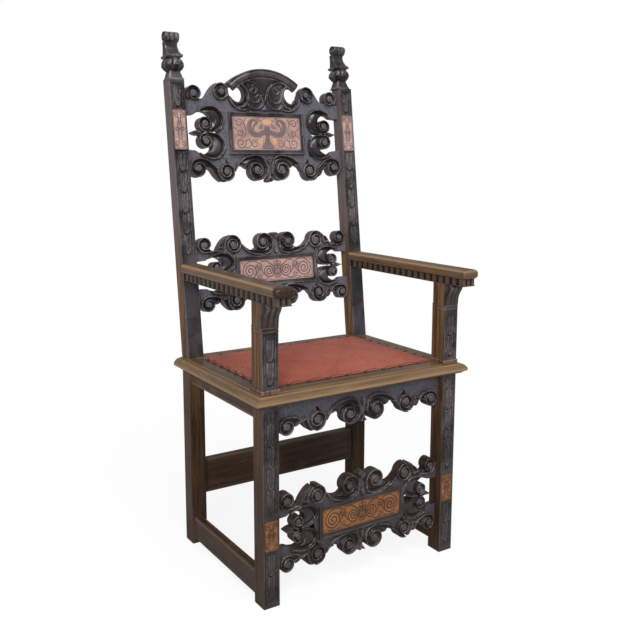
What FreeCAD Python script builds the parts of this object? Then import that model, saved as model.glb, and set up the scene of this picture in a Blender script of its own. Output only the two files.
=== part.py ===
import FreeCAD, Part
import math
import os

Vector = FreeCAD.Vector

# Wainscot armchair with pierced and carved back rails, in millimetres.
# Working frame: X to the viewer's right when the chair is seen from the front, Y from the front
# faces of the front legs towards the back, Z up from the floor. Left and right in the names of the
# pieces are those of a viewer who faces the chair.

# Legs and back posts
chair_width = 542.0
leg_width = 40.0
front_leg_depth = 42.0
post_depth = 42.0
post_top_depth = 37.0
leg_spacing = 370.0
bend_rise = 2.0
rake_angle = 6.9
foot_chamfer = 5.0

# Seat frame and seat
seat_height = 484.0
seat_board = 26.0
seat_side_overhang = 23.0
seat_front_overhang = 18.0
seat_rear_overhang = 2.0
opening_inset = 10.0
front_board_depth = 73.0
rear_board_front = 10.0
nose_width = 20.0
rebate_width = 10.0
rebate_depth = 4.2

# Arms
arm_rise = 215.5
arm_board = 20.0
arm_width = 48.0
arm_overhang = 66.0
arm_inset = 4.0
arm_edge_radius = 4.0
arm_nose_radius = 9.0
frieze_height = 23.0
frieze_setback = 9.0
gouge_radius = 5.0
gouge_depth = 3.5
gouge_spacing = 23.5
support_depth = 46.0
corbel_height = 50.0
corbel_reach = 18.0
corbel_groove = 3.0
corbel_groove_depth = 2.5
support_bead = 1.4
bead_gap = 8.0
plinth_height = 9.0
plinth_reach = 2.5
shoulder_round = 6.0

# Boards shared by the carved rails
rail_thickness = 22.0
relief = 5.0
back_setback = 13.0
front_setback = 16.0
outer_volute_inset = 27.0
middle_volute_inset = 104.0
inner_volute_x = 38.0
outer_volute_radius = 20.0
middle_volute_radius = 25.0
inner_volute_radius = 27.5
volute_rim = 3.5
arch_x = 49.0
arch_radius = 54.0
arch_band = 12.5
arch_start = 12.0
arch_end = 160.0
arch_drop = 17.5
crescent_inset = 73.0
side_volute_inset = 54.0
side_gap_inset = 48.0
spike_half_height = 6.5
notch_inset = 54.0
notch_depth = 16.0
notch_width = 6.0
bud_width = 25.0
bud_neck = 16.0
bud_length = 29.0
plaque_frame = 4.0
frame_gap = 6.0
plaque_thickness = 2.5

# Crest rail, with heights from the middle of its plaque
crest_middle = 561.0
post_above_crest = 126.0
crest_plaque_width = 203.0
crest_plaque_height = 87.0
crest_top_outer = 96.5
crest_top_middle = 104.5
crest_bottom_outer = 90.0
crest_bottom_middle = 98.0
crest_bottom_inner = 93.0
crest_ear = 42.0
crest_ear_top = 84.0
crest_body = 66.0
crest_crescent_z = 30.0
crest_crescent_radius = 39.0
crest_side_volute_z = 22.0
crest_side_volute_radius = 20.0
crest_side_gap_z = 33.0
crest_side_gap_radius = 21.0
crest_spike_inset = 17.0
keyhole_x = 80.0
keyhole_z = 97.5
keyhole_radius = 15.0
keyhole_stretch = 6.0
keyhole_rim = 4.0
leaf_x = 38.0
leaf_z = 96.0
leaf_radius = 34.0
leaf_width = 5.0
leaf_count = 3
crest_shoulder = 82.0
crest_arch_radius = 164.0
crest_arch_section = 25.0
crest_arch_rebate = 11.0
crest_arch_centre = 2.7
crest_arch_half_angle = 41.0
crest_arch_reach = 9.0
crest_arch_bevel = 4.0

# Lower back rail and front stretcher, alike, with heights from the middle of the plaque
lower_middle = 203.5
stretcher_middle = 157.5
strip_plaque_width = 222.0
strip_plaque_height = 58.0
strip_outer = 74.0
strip_middle = 70.5
strip_inner = 70.0
strip_ear = 30.0
strip_body = 44.0
strip_crescent_z = 22.0
strip_crescent_radius = 28.0
strip_side_volute_z = 17.5
strip_side_volute_radius = 15.5
strip_side_gap_z = 26.0
strip_side_gap_radius = 19.0
strip_spike_inset = 26.0

# Apron, with drops from the underside of the seat frame
apron_outer_drop = 56.5
apron_middle_drop = 52.0
apron_inner_drop = 53.5
apron_body_drop = 26.0

# Plain rails and stretchers
rail_board = 22.0
side_rail_height = 35.0
side_rail_inset = 5.0
rear_rail_height = 48.0
side_stretcher_height = 56.0
side_stretcher_foot = 15.0
rear_stretcher_height = 92.0
rear_stretcher_foot = 125.0
rear_rail_setback = 12.0

# Joints
tenon_thickness = 9.0
tenon_length = 18.0
tenon_margin = 3.0
tenon_fit = 0.15
mortise_end_gap = 1.0
support_tenon_width = 26.0
support_tenon_thickness = 12.0
support_tenon_depth = 24.0
support_tenon_setback = 5.0
arm_tenon_height = 13.0
piece_fit = 0.2
soft_gap = 0.3
overrun = 20.0

# Sunk reeded panels on the legs, posts and arm supports
panel_depth = 2.5
panel_border = 4.5
reed_width = 4.5
tongue_width = 12.0
tongue_pitch = 50.5
tongue_gap = 9.0
panel_gap = 3.0
leg_plaque_foot = 133.0
leg_plaque_height = 68.0
leg_panel_gap = 12.0
leg_panel_foot = 9.0
post_plaque_drop = 44.5
post_plaque_height = 97.0
post_panel_foot = 256.0
post_plaque_border = 3.0
support_panel_foot = 16.0

# Finials
finial_neck = 20.0
finial_waist = 26.0
finial_ball_radius = 25.0
finial_ball_height = 34.0
finial_collar_height = 10.0
finial_collar_width = 41.0
finial_bracket_height = 34.0
finial_bracket_width = 31.0
finial_bracket_head = 22.0
finial_roll_radius = 13.5
finial_roll_length = 37.0
finial_roll_groove = 2.0
finial_dowel_radius = 8.0
finial_dowel_length = 24.0
gadroon_radius = 9.0
gadroon_count = 8

# Upholstery
web_width = 50.0
web_thickness = 1.2
web_count = 4
web_gap = 0.1
base_cloth = 0.8
cover_thickness = 1.2
cover_border = 18.0
pad_crown = 14.0
pad_edge = 1.2
pad_inset = 2.0
pad_spread = 5.0
tack_head_radius = 4.5
tack_head_height = 2.4
tack_shank_radius = 0.9
tack_shank_length = 8.0
tack_edge = 3.6
tack_count_front = 10
tack_count_side = 8

# Scroll ends, as shares of their radius: rim, groove and the wall between its turns
rim_share = 0.15
groove_share = 0.24
wall_share = 0.12
groove_turns = 1.2
groove_points = 14

# Angles in degrees at which the grooves and bands of the right half start and end
outer_groove_start = 95.0
middle_groove_start = -75.0
inner_groove_start = 150.0
side_groove_start = 265.0
crest_outer_groove_start = 315.0
crest_middle_groove_start = 223.0
crescent_start = 60.0
crescent_end = 215.0
leaf_start = 60.0
leaf_step = 20.0
leaf_end = 230.0

# Link between the outer and the middle scroll ends, as shares of the radius of each
outer_link_shares = [(0, -0.6)]
middle_link_shares = [(1.45, -0.1), (0.8, 0.6), (0, 0), (-0.9, 0)]
crest_outer_link_shares = [(0, -0.6), (-1.1, -0.7)]
crest_middle_link_shares = [(1.4, 0), (0.8, 0.6), (0, 0)]

# Corbel of the arm supports, as shares of its reach and its height
corbel_shares = [(0, 0), (0.18, 0.3), (0.75, 0.68), (1, 0.86), (0.8, 1)]

# Nose of the seat frame, as shares of its width and of the board
nose_shares = [(1, 1), (1, 0.94), (0.72, 0.94), (0, 0.38), (0.1, 0.22), (0.55, 0)]
nose_bulge_share = (0.22, 0.76)
nose_hollow_share = (0.38, 0.15)

half_width = chair_width / 2
inner_face = half_width - leg_width
leg_centre = half_width - leg_width / 2
seat_width = chair_width + 2 * seat_side_overhang
seat_under = seat_height - seat_board
outer_volute_x = inner_face - outer_volute_inset
middle_volute_x = inner_face - middle_volute_inset
crescent_x = inner_face - crescent_inset
side_volute_x = inner_face - side_volute_inset
side_gap_x = inner_face - side_gap_inset
notch_x = inner_face - notch_inset
crest_spike = inner_face - crest_spike_inset
strip_spike = inner_face - strip_spike_inset
bend_height = seat_height + bend_rise
post_plaque_foot = crest_middle - post_plaque_drop
upright_length = crest_middle + post_above_crest
arm_underside = seat_height + arm_rise
frieze_under = arm_underside - frieze_height
apron_outer = seat_under - apron_outer_drop
apron_middle = seat_under - apron_middle_drop
apron_inner = seat_under - apron_inner_drop
apron_body = seat_under - apron_body_drop
opening_half = inner_face - opening_inset
opening_front = front_board_depth - seat_front_overhang
opening_rear = leg_spacing - rear_board_front
seat_rear = leg_spacing + post_depth + seat_rear_overhang
ground = rail_thickness - relief


def box(x0, x1, y0, y1, z0, z1):
    """Box between two corners."""
    return Part.makeBox(x1 - x0, y1 - y0, z1 - z0, Vector(x0, y0, z0))


def prism(points, along):
    """Solid swept from a closed outline by a vector."""
    return Part.Face(Part.makePolygon(points + points[:1])).extrude(along)


def plate(outline, y0, y1):
    """Solid with an outline in X and Z, between two depths."""
    return prism([Vector(x, y0, z) for x, z in outline], Vector(0, y1 - y0, 0))


def disc(x, z, radius, y0, y1):
    """Round plate that faces the front."""
    return Part.makeCylinder(radius, y1 - y0, Vector(x, y0, z), Vector(0, 1, 0))


def band(x, z, inner, outer, start, end, y0, y1):
    """Part of a flat ring that faces the front, between two angles in degrees."""
    def at(radius, angle):
        turn = math.radians(angle)
        return Vector(x + radius * math.cos(turn), y0, z + radius * math.sin(turn))

    middle = (start + end) / 2
    edges = [
        Part.Arc(at(outer, start), at(outer, middle), at(outer, end)).toShape(),
        Part.makeLine(at(outer, end), at(inner, end)),
        Part.Arc(at(inner, end), at(inner, middle), at(inner, start)).toShape(),
        Part.makeLine(at(inner, start), at(outer, start)),
    ]
    return Part.Face(Part.Wire(edges)).extrude(Vector(0, y1 - y0, 0))


def fuse(pieces):
    """One solid from overlapping ones."""
    whole = pieces[0].multiFuse(pieces[1:]) if len(pieces) > 1 else pieces[0]
    return whole.removeSplitter()


def cut(piece, tools):
    """Piece less every tool."""
    return piece.cut(Part.makeCompound(tools)) if tools else piece


def mirrored(shape):
    """The same shape on the other side of the chair."""
    return shape.mirror(Vector(0, 0, 0), Vector(1, 0, 0))


def raked(shape):
    """Moves a shape from the upright back frame onto the leaning posts.

    Before the move, Y is the depth behind the posts' front faces and Z the height above the bend.
    """
    leaning = shape.copy()
    leaning.rotate(Vector(0, 0, 0), Vector(1, 0, 0), -rake_angle)
    leaning.translate(Vector(0, leg_spacing, bend_height))
    return leaning


def near(x, z, radius, side, shares):
    """Outline points near a scroll end, from shares of its radius."""
    return [(x + radius * across, z + side * radius * up) for across, up in shares]


def volute(x, z, radius, start, hand):
    """Raised scroll end: a disc with a spiral groove that winds in to its eye.

    The groove starts at an angle in degrees. hand is 1 where it winds in anticlockwise and -1
    where it winds in clockwise.
    """
    def spiral(edge):
        points = []
        for number in range(groove_points + 1):
            turn = groove_turns * number / groove_points
            r = radius * (1 - edge - turn * (groove_share + wall_share))
            angle = math.radians(start) + hand * 2 * math.pi * turn
            points.append(Vector(x + r * math.cos(angle), 0, z + r * math.sin(angle)))
        curve = Part.BSplineCurve()
        curve.interpolate(points)
        return curve.toShape(), points[0], points[-1]

    outer, outer_start, outer_end = spiral(rim_share)
    inner, inner_start, inner_end = spiral(rim_share + groove_share)
    wire = Part.Wire([outer, Part.makeLine(outer_end, inner_end), inner,
                      Part.makeLine(inner_start, outer_start)])
    groove = Part.Face(wire).extrude(Vector(0, relief + overrun, 0))
    groove.translate(Vector(0, -overrun, 0))
    return disc(x, z, radius, 0, relief + overrun / 4).cut(groove)


def scroll_row(side, outer, middle, inner, base):
    """Half of a row of six scroll ends, joined by bands, with the piercings left open.

    side is 1 for a row above the plaque and -1 for one below, base the height that the board is
    solid to. Returns the solids of the board and the raised parts on it.
    """
    back = (relief, rail_thickness)
    arch_z = inner + side * arch_drop
    arch_inner = arch_radius - arch_band
    first, last = sorted((-side * arch_start, -side * arch_end))
    notch = outer - side * notch_depth
    link = [(outer_volute_x, base)]
    link += near(outer_volute_x, outer, outer_volute_radius, side, outer_link_shares)
    link += [(notch_x + notch_width, notch - side * notch_width / 2),
             (notch_x - notch_width / 2, notch)]
    link += near(middle_volute_x, middle, middle_volute_radius, side, middle_link_shares)
    link.append((middle_volute_x - middle_volute_radius * (1 + groove_share), base))
    bud = [
        (-bud_width / 2, base),
        (bud_width / 2, base),
        (bud_width / 2, inner),
        (bud_neck / 2, inner + side * (bud_length - bud_neck / 2)),
        (0, inner + side * bud_length),
        (-bud_neck / 2, inner + side * (bud_length - bud_neck / 2)),
        (-bud_width / 2, inner),
    ]
    solids = [
        disc(outer_volute_x, outer, outer_volute_radius, *back),
        disc(middle_volute_x, middle, middle_volute_radius, *back),
        disc(inner_volute_x, inner, inner_volute_radius, *back),
        band(arch_x, arch_z, arch_inner, arch_radius, first, last, *back),
        plate(link, *back),
        plate(bud, *back),
    ]
    raised = [
        band(arch_x, arch_z, arch_radius - volute_rim, arch_radius, first, last, 0,
             relief + overrun / 4),
        volute(outer_volute_x, outer, outer_volute_radius, -side * outer_groove_start, side),
        volute(middle_volute_x, middle, middle_volute_radius, -side * middle_groove_start, side),
        volute(inner_volute_x, inner, inner_volute_radius, -side * inner_groove_start, -side),
    ]
    return solids, raised


def side_scrolls(crescent_z, crescent_radius, volute_z, volute_radius, gap_z, gap_radius,
                 ear, spike):
    """Half of the pair of C scrolls beside a plaque, with the piercing next to the post.

    Returns the solids of the board, what is cut from them, the solids that stand in the opening,
    and the raised parts.
    """
    back = (relief, rail_thickness)
    through = (relief - overrun, rail_thickness + overrun)
    solids = []
    holes = [box(side_gap_x, inner_face + overrun, *through, -ear, ear)]
    islands = [plate([(crescent_x, -spike_half_height), (side_volute_x + volute_radius,
                      -spike_half_height), (spike, 0), (side_volute_x + volute_radius,
                      spike_half_height), (crescent_x, spike_half_height)], *back)]
    raised = []
    for side in (-1, 1):
        solids.append(disc(crescent_x, side * crescent_z, crescent_radius, *back))
        holes.append(disc(side_gap_x, side * gap_z, gap_radius, *through))
        islands.append(disc(side_volute_x, side * volute_z, volute_radius, *back))
        raised.append(volute(side_volute_x, side * volute_z, volute_radius,
                             side * side_groove_start, side))
        sweep = sorted((side * crescent_start, side * crescent_end))
        raised.append(band(crescent_x, side * crescent_z, crescent_radius - volute_rim,
                           crescent_radius, *sweep, 0, relief + overrun / 4))
    return solids, holes, islands, raised


def plaque_seat(width, height):
    """Raised frame round a plaque and the recess that the plaque lies in."""
    half_w = width / 2 + frame_gap + plaque_frame
    half_h = height / 2 + frame_gap + plaque_frame
    frame = box(-half_w, half_w, 0, relief + overrun / 4, -half_h, half_h).cut(
        box(plaque_frame - half_w, half_w - plaque_frame, -overrun, relief,
            plaque_frame - half_h, half_h - plaque_frame))
    recess = box(-width / 2, width / 2, -overrun, relief + plaque_thickness,
                 -height / 2, height / 2)
    return frame, recess


def tenon(x0, z0, z1, y0):
    """Tenon on one end of a carved board: from its shoulder to its tip."""
    return box(x0 - tenon_margin, x0 + tenon_length, y0, y0 + tenon_thickness,
               z0 + tenon_margin, z1 - tenon_margin)


def mortise(x0, z0, z1, y0):
    """The slot in a post for the tenon of the same place."""
    return box(x0 - overrun, x0 + tenon_length + mortise_end_gap, y0 - tenon_fit,
               y0 + tenon_thickness + tenon_fit, z0 + tenon_margin - tenon_fit,
               z1 - tenon_margin + tenon_fit)


tenon_depth = relief + (ground - tenon_thickness) / 2
crest_ears = [(crest_ear, crest_ear_top), (-crest_bottom_outer + 2 * tenon_margin, -crest_ear)]
strip_ears = [(strip_ear, strip_outer - 2 * tenon_margin),
              (2 * tenon_margin - strip_outer, -strip_ear)]
apron_ears = [(apron_outer + 2 * tenon_margin, seat_under - 2 * tenon_margin)]


def ears(spans):
    """Half of the plain ends of a board that meet the post, each with its tenon."""
    pieces = []
    for low, high in spans:
        pieces.append(box(crescent_x, inner_face, relief, rail_thickness, low, high))
        pieces.append(tenon(inner_face, low, high, tenon_depth))
    return pieces


def carved_board(half_solids, holes, islands, half_raised, middle_solids, middle_raised, recess):
    """Whole board from its right half: outline, piercings, scroll ends and raised work."""
    body = fuse([solid for half in half_solids for solid in (half, mirrored(half))]
                + middle_solids)
    body = cut(body, [tool for half in holes for tool in (half, mirrored(half))])
    raised = [solid for half in islands + half_raised for solid in (half, mirrored(half))]
    body = fuse([body] + raised + middle_raised)
    return body.cut(recess)


def make_crest_rail():
    """Pierced crest rail, upright, with its plaque's middle at the origin."""
    bottom, bottom_raised = scroll_row(-1, -crest_bottom_outer, -crest_bottom_middle,
                                       -crest_bottom_inner, -crest_body + tenon_margin)
    side = side_scrolls(crest_crescent_z, crest_crescent_radius, crest_side_volute_z,
                        crest_side_volute_radius, crest_side_gap_z, crest_side_gap_radius,
                        crest_ear, crest_spike)
    back = (relief, rail_thickness)
    through = (relief - overrun, rail_thickness + overrun)
    link = [(outer_volute_x, crest_ear)]
    link += near(outer_volute_x, crest_top_outer, outer_volute_radius, 1,
                 crest_outer_link_shares)
    link += near(middle_volute_x, crest_top_middle, middle_volute_radius, 1,
                 crest_middle_link_shares)
    link.append((middle_volute_x - middle_volute_radius, crest_ear))
    tympanum = disc(0, crest_arch_centre, crest_arch_radius - crest_arch_section
                    + crest_arch_rebate, *back).common(
        box(-keyhole_x - keyhole_radius - keyhole_rim * 2, keyhole_x + keyhole_radius
            + keyhole_rim * 2, *back, 0, crest_arch_radius + crest_arch_centre))
    keyhole = fuse([disc(keyhole_x, keyhole_z + side_step * keyhole_stretch / 2, keyhole_radius,
                         *through) for side_step in (-1, 1)])
    rim = disc(keyhole_x, keyhole_z - keyhole_stretch / 2, keyhole_radius + keyhole_rim, 0,
               relief + overrun / 4).common(
        box(0, chair_width, -overrun, overrun, 0, keyhole_z))
    half_solids = bottom + side[0] + ears(crest_ears) + [
        plate(link, *back),
        disc(outer_volute_x, crest_top_outer, outer_volute_radius, *back),
        disc(middle_volute_x, crest_top_middle, middle_volute_radius, *back),
    ]
    raised = bottom_raised + side[3] + [
        volute(outer_volute_x, crest_top_outer, outer_volute_radius, crest_outer_groove_start,
               1),
        volute(middle_volute_x, crest_top_middle, middle_volute_radius,
               crest_middle_groove_start, -1),
        rim.cut(keyhole),
    ]
    raised += [band(leaf_x, leaf_z, leaf_radius * step / leaf_count - leaf_width,
                    leaf_radius * step / leaf_count, leaf_start - leaf_step * step, leaf_end, 0,
                    relief + overrun / 4) for step in range(1, leaf_count + 1)]
    frame, recess = plaque_seat(crest_plaque_width, crest_plaque_height)
    slab = box(-middle_volute_x, middle_volute_x, *back, -crest_body, crest_shoulder)
    return carved_board(half_solids, side[1] + [keyhole], side[2], raised, [slab, tympanum],
                        [frame], recess)


def make_strip_rail():
    """Pierced rail with scrolls above and below a long plaque, with its middle at the origin."""
    half_solids, raised = scroll_row(-1, -strip_outer, -strip_middle, -strip_inner, -strip_body)
    top, top_raised = scroll_row(1, strip_outer, strip_middle, strip_inner, strip_body)
    side = side_scrolls(strip_crescent_z, strip_crescent_radius, strip_side_volute_z,
                        strip_side_volute_radius, strip_side_gap_z, strip_side_gap_radius,
                        strip_ear, strip_spike)
    frame, recess = plaque_seat(strip_plaque_width, strip_plaque_height)
    slab = box(-middle_volute_x, middle_volute_x, relief, rail_thickness, -strip_body,
               strip_body)
    return carved_board(half_solids + top + side[0] + ears(strip_ears), side[1], side[2],
                        raised + top_raised + side[3], [slab], [frame], recess)


def make_apron():
    """Apron under the seat frame, solid above and scrolled below, at its height."""
    half_solids, raised = scroll_row(-1, apron_outer, apron_middle, apron_inner, apron_body)
    slab = box(-inner_face, inner_face, relief, rail_thickness, apron_body - volute_rim,
               seat_under)
    recess = box(-overrun, overrun, -2 * overrun, -overrun, 0, overrun)
    apron = carved_board(half_solids + ears(apron_ears), [], [], raised, [slab], [], recess)
    apron.translate(Vector(0, front_setback, 0))
    return apron


def rail_mortises(middle, spans, setback):
    """Mortises of one carved board in the right post."""
    return [mortise(inner_face, middle + low, middle + high, setback + tenon_depth)
            for low, high in spans]


def reeded_panel(foot, top):
    """Sunk panel on the right leg's front face: what is cut, and the reeds left standing in it."""
    x0 = inner_face + panel_border
    x1 = half_width - panel_border
    sunk = box(x0, x1, -overrun, panel_depth, foot, top)
    proud = panel_depth / 4
    back = panel_depth + overrun / 4
    reeds = [box(x0 + panel_gap / 2, x0 + panel_gap / 2 + reed_width, proud, back, foot, top),
             box(x1 - panel_gap / 2 - reed_width, x1 - panel_gap / 2, proud, back, foot, top)]
    count = int((top - foot) / tongue_pitch + 0.3)
    for number in range(count):
        head = top - number * tongue_pitch
        tip = head - tongue_pitch + tongue_gap + tongue_width / 2
        if tip > foot + tongue_width / 2:
            reeds.append(box(leg_centre - tongue_width / 2, leg_centre + tongue_width / 2, proud,
                             back, tip, head))
            reeds.append(disc(leg_centre, tip, tongue_width / 2, proud, back))
    return sunk, reeds


def panelled(body, spans):
    """Body with reeded panels sunk in its front, which lies at the depth zero."""
    for foot, top in spans:
        sunk, reeds = reeded_panel(foot, top)
        body = fuse([body.cut(sunk)] + reeds)
    return body


def plaque(foot, height, depth):
    """Thin plaque on the right leg or post, with its recess."""
    x0 = inner_face + post_plaque_border
    x1 = half_width - post_plaque_border
    piece = box(x0 + piece_fit, x1 - piece_fit, depth, depth + plaque_thickness,
                foot + piece_fit, foot + height - piece_fit)
    recess = box(x0, x1, depth - overrun, depth + plaque_thickness, foot, foot + height)
    return piece, recess


def side_tenon(y0, y1, foot, top):
    """Tenon of a side rail or side stretcher, thin in X."""
    return box(half_width - side_rail_inset - rail_board / 2, half_width - side_rail_inset
               - rail_board / 2 + tenon_thickness, y0, y1, foot + 2 * tenon_margin,
               top - 2 * tenon_margin)


def side_mortise(y0, y1, foot, top):
    """Slot for a side tenon."""
    return box(half_width - side_rail_inset - rail_board / 2 - tenon_fit, half_width
               - side_rail_inset - rail_board / 2 + tenon_thickness + tenon_fit, y0, y1,
               foot + 2 * tenon_margin - tenon_fit, top - 2 * tenon_margin + tenon_fit)


def rear_mortise(foot, top):
    """Slot in the right post for the rear rail or the rear stretcher."""
    y0 = leg_spacing + rear_rail_setback + (rail_board - tenon_thickness) / 2
    return mortise(inner_face, foot, top, y0)


side_rail_foot = seat_under - side_rail_height
rear_rail_foot = seat_under - rear_rail_height
rear_stretcher_top = rear_stretcher_foot + rear_stretcher_height
side_stretcher_top = side_stretcher_foot + side_stretcher_height
side_spans = [(side_rail_foot, seat_under), (side_stretcher_foot, side_stretcher_top)]
socket = tenon_length + mortise_end_gap


def footed(leg):
    """Leg with the worn chamfer round its foot."""
    edges = [edge for edge in leg.Edges
             if all(abs(vertex.Z) < tenon_fit for vertex in edge.Vertexes)]
    return leg.makeChamfer(foot_chamfer, edges)


def make_front_leg():
    """Right front leg, with its panels, plaque recess and mortises; and its plaque."""
    leg = footed(box(inner_face, half_width, 0, front_leg_depth, 0, seat_under))
    plaque_top = leg_plaque_foot + leg_plaque_height
    leg = panelled(leg, [(leg_panel_foot, leg_plaque_foot - panel_border),
                         (plaque_top + leg_panel_gap, seat_under - leg_panel_gap)])
    inlay, recess = plaque(leg_plaque_foot, leg_plaque_height, 0)
    slots = [recess] + rail_mortises(0, apron_ears, front_setback)
    slots += rail_mortises(stretcher_middle, strip_ears, front_setback)
    slots += [side_mortise(front_leg_depth - socket, front_leg_depth + overrun, foot, top)
              for foot, top in side_spans]
    slots.append(support_tenon(seat_under - support_tenon_depth - mortise_end_gap,
                               seat_under + overrun, tenon_fit))
    return cut(leg, slots), inlay


def support_tenon(foot, top, fit):
    """Tenon under the right arm support, or the hole for it."""
    return box(leg_centre - support_tenon_width / 2 - fit, leg_centre + support_tenon_width / 2
               + fit, support_tenon_setback - fit, support_tenon_setback
               + support_tenon_thickness + fit, foot, top)


def finial_dowel(fit, end_gap):
    """Dowel under the right finial, or the hole for it, in the upright back frame."""
    return Part.makeCylinder(finial_dowel_radius + fit, finial_dowel_length + end_gap,
                             Vector(leg_centre, post_top_depth / 2, upright_length),
                             Vector(0, 0, -1))


def make_post():
    """Right rear post: straight leg, bend and raked upright in one; and its plaque."""
    rake = math.radians(rake_angle)
    head_front = (leg_spacing + upright_length * math.sin(rake),
                  bend_height + upright_length * math.cos(rake))
    head_rear = (head_front[0] + post_top_depth * math.cos(rake),
                 head_front[1] - post_top_depth * math.sin(rake))
    outline = [(leg_spacing, 0), (leg_spacing, bend_height), head_front, head_rear,
               (leg_spacing + post_depth, bend_height), (leg_spacing + post_depth, 0)]
    body = prism([Vector(inner_face, y, z) for y, z in outline], Vector(leg_width, 0, 0))
    body = footed(body)
    plaque_top = post_plaque_foot + post_plaque_height
    for foot, top in [(post_panel_foot, post_plaque_foot - panel_gap),
                      (plaque_top + panel_gap, upright_length - tongue_gap)]:
        sunk, reeds = reeded_panel(foot, top)
        body = fuse([body.cut(raked(sunk))] + [raked(reed) for reed in reeds])
    inlay, recess = plaque(post_plaque_foot, post_plaque_height, 0)
    slots = [raked(tool) for tool in [recess, finial_dowel(tenon_fit, mortise_end_gap)]
             + rail_mortises(crest_middle, crest_ears, back_setback)
             + rail_mortises(lower_middle, strip_ears, back_setback)]
    slots += [side_mortise(leg_spacing - overrun, leg_spacing + socket, foot, top)
              for foot, top in side_spans]
    slots += [rear_mortise(rear_rail_foot, seat_under),
              rear_mortise(rear_stretcher_foot, rear_stretcher_top),
              arm_tenon(tenon_fit, mortise_end_gap)]
    return cut(body, slots), raked(inlay)


def arm_root():
    """Depth of the posts' front faces at the height of the arms' tenons."""
    return leg_spacing + (frieze_under + frieze_height / 2 - bend_height) * math.tan(
        math.radians(rake_angle))


def arm_tenon(fit, end_gap):
    """Tenon at the back of the right arm, or the slot for it."""
    middle = frieze_under + frieze_height / 2
    return box(leg_centre - tenon_thickness / 2 - fit, leg_centre + tenon_thickness / 2 + fit,
               arm_root() - 2 * tenon_margin, arm_root() + tenon_length + end_gap,
               middle - arm_tenon_height / 2 - fit, middle + arm_tenon_height / 2 + fit)


def before_post(shape):
    """Shape cut off at the plane of the posts' front faces."""
    behind = raked(box(-chair_width, chair_width, 0, chair_width, -chair_width, upright_length))
    return shape.cut(behind)


def make_arm_frieze():
    """Right arm's bar: gouged on both sides and at the front, tenoned into the post."""
    front = frieze_setback - arm_overhang
    bar = before_post(box(inner_face, half_width, front, arm_root() + overrun, frieze_under,
                          arm_underside))
    offset = gouge_radius - gouge_depth
    count = int((arm_root() - front) / gouge_spacing)
    tools = []
    for number in range(count):
        y = front + (number + 0.5) * gouge_spacing
        for x in (inner_face - offset, half_width + offset):
            tools.append(Part.makeCylinder(gouge_radius, frieze_height + overrun,
                                           Vector(x, y, frieze_under - overrun / 2)))
    for number in (-1, 0, 1):
        tools.append(Part.makeCylinder(gouge_radius, frieze_height + overrun,
                                       Vector(leg_centre + number * leg_width / 3,
                                              front - offset, frieze_under - overrun / 2)))
    tools.append(frieze_socket(tenon_fit, mortise_end_gap))
    return fuse([cut(bar, tools), arm_tenon(0, 0)])


def frieze_socket(fit, end_gap):
    """Tenon on top of the right arm support, or the hole for it in the arm's bar."""
    middle = support_depth / 2
    return box(leg_centre - support_tenon_thickness - fit, leg_centre + support_tenon_thickness
               + fit, middle - support_tenon_thickness / 2 - fit, middle
               + support_tenon_thickness / 2 + fit, frieze_under - tenon_margin,
               frieze_under + frieze_height / 2 + end_gap)


def make_arm_board():
    """Right arm's top board, with eased edges and a rounded front end."""
    outer = half_width + arm_inset
    board = box(outer - arm_width, outer, -arm_overhang, arm_root() + 2 * overrun, arm_underside,
                arm_underside + arm_board)

    def on_front(edge):
        return all(abs(vertex.Y + arm_overhang) < tenon_fit for vertex in edge.Vertexes)

    def level(edge):
        return abs(edge.Vertexes[0].Z - edge.Vertexes[-1].Z) < tenon_fit

    board = board.makeFillet(arm_nose_radius, [edge for edge in board.Edges
                                               if on_front(edge) and level(edge)])
    top = arm_underside + arm_board
    long_edges = [edge for edge in board.Edges
                  if all(abs(vertex.Z - top) < tenon_fit for vertex in edge.Vertexes)
                  and abs(edge.Vertexes[0].X - edge.Vertexes[-1].X) < tenon_fit]
    return before_post(board.makeFillet(arm_edge_radius, long_edges))


def corbel_outline(reach):
    """Side outline of the flared head of an arm support, as edges in Y and Z."""
    foot = frieze_under - corbel_height
    points = [Vector(0, -reach * out, foot + corbel_height * up) for out, up in corbel_shares]
    curve = Part.BSplineCurve()
    curve.interpolate(points)
    back = Vector(0, overrun, frieze_under)
    low = Vector(0, overrun, foot)
    return [curve.toShape(), Part.makeLine(points[-1], back), Part.makeLine(back, low),
            Part.makeLine(low, points[0])]


def corbel(x0, x1, reach):
    """Flared head of an arm support between two planes."""
    head = Part.Face(Part.Wire(corbel_outline(reach))).extrude(Vector(x1 - x0, 0, 0))
    head.translate(Vector(x0, 0, 0))
    return head


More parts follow.
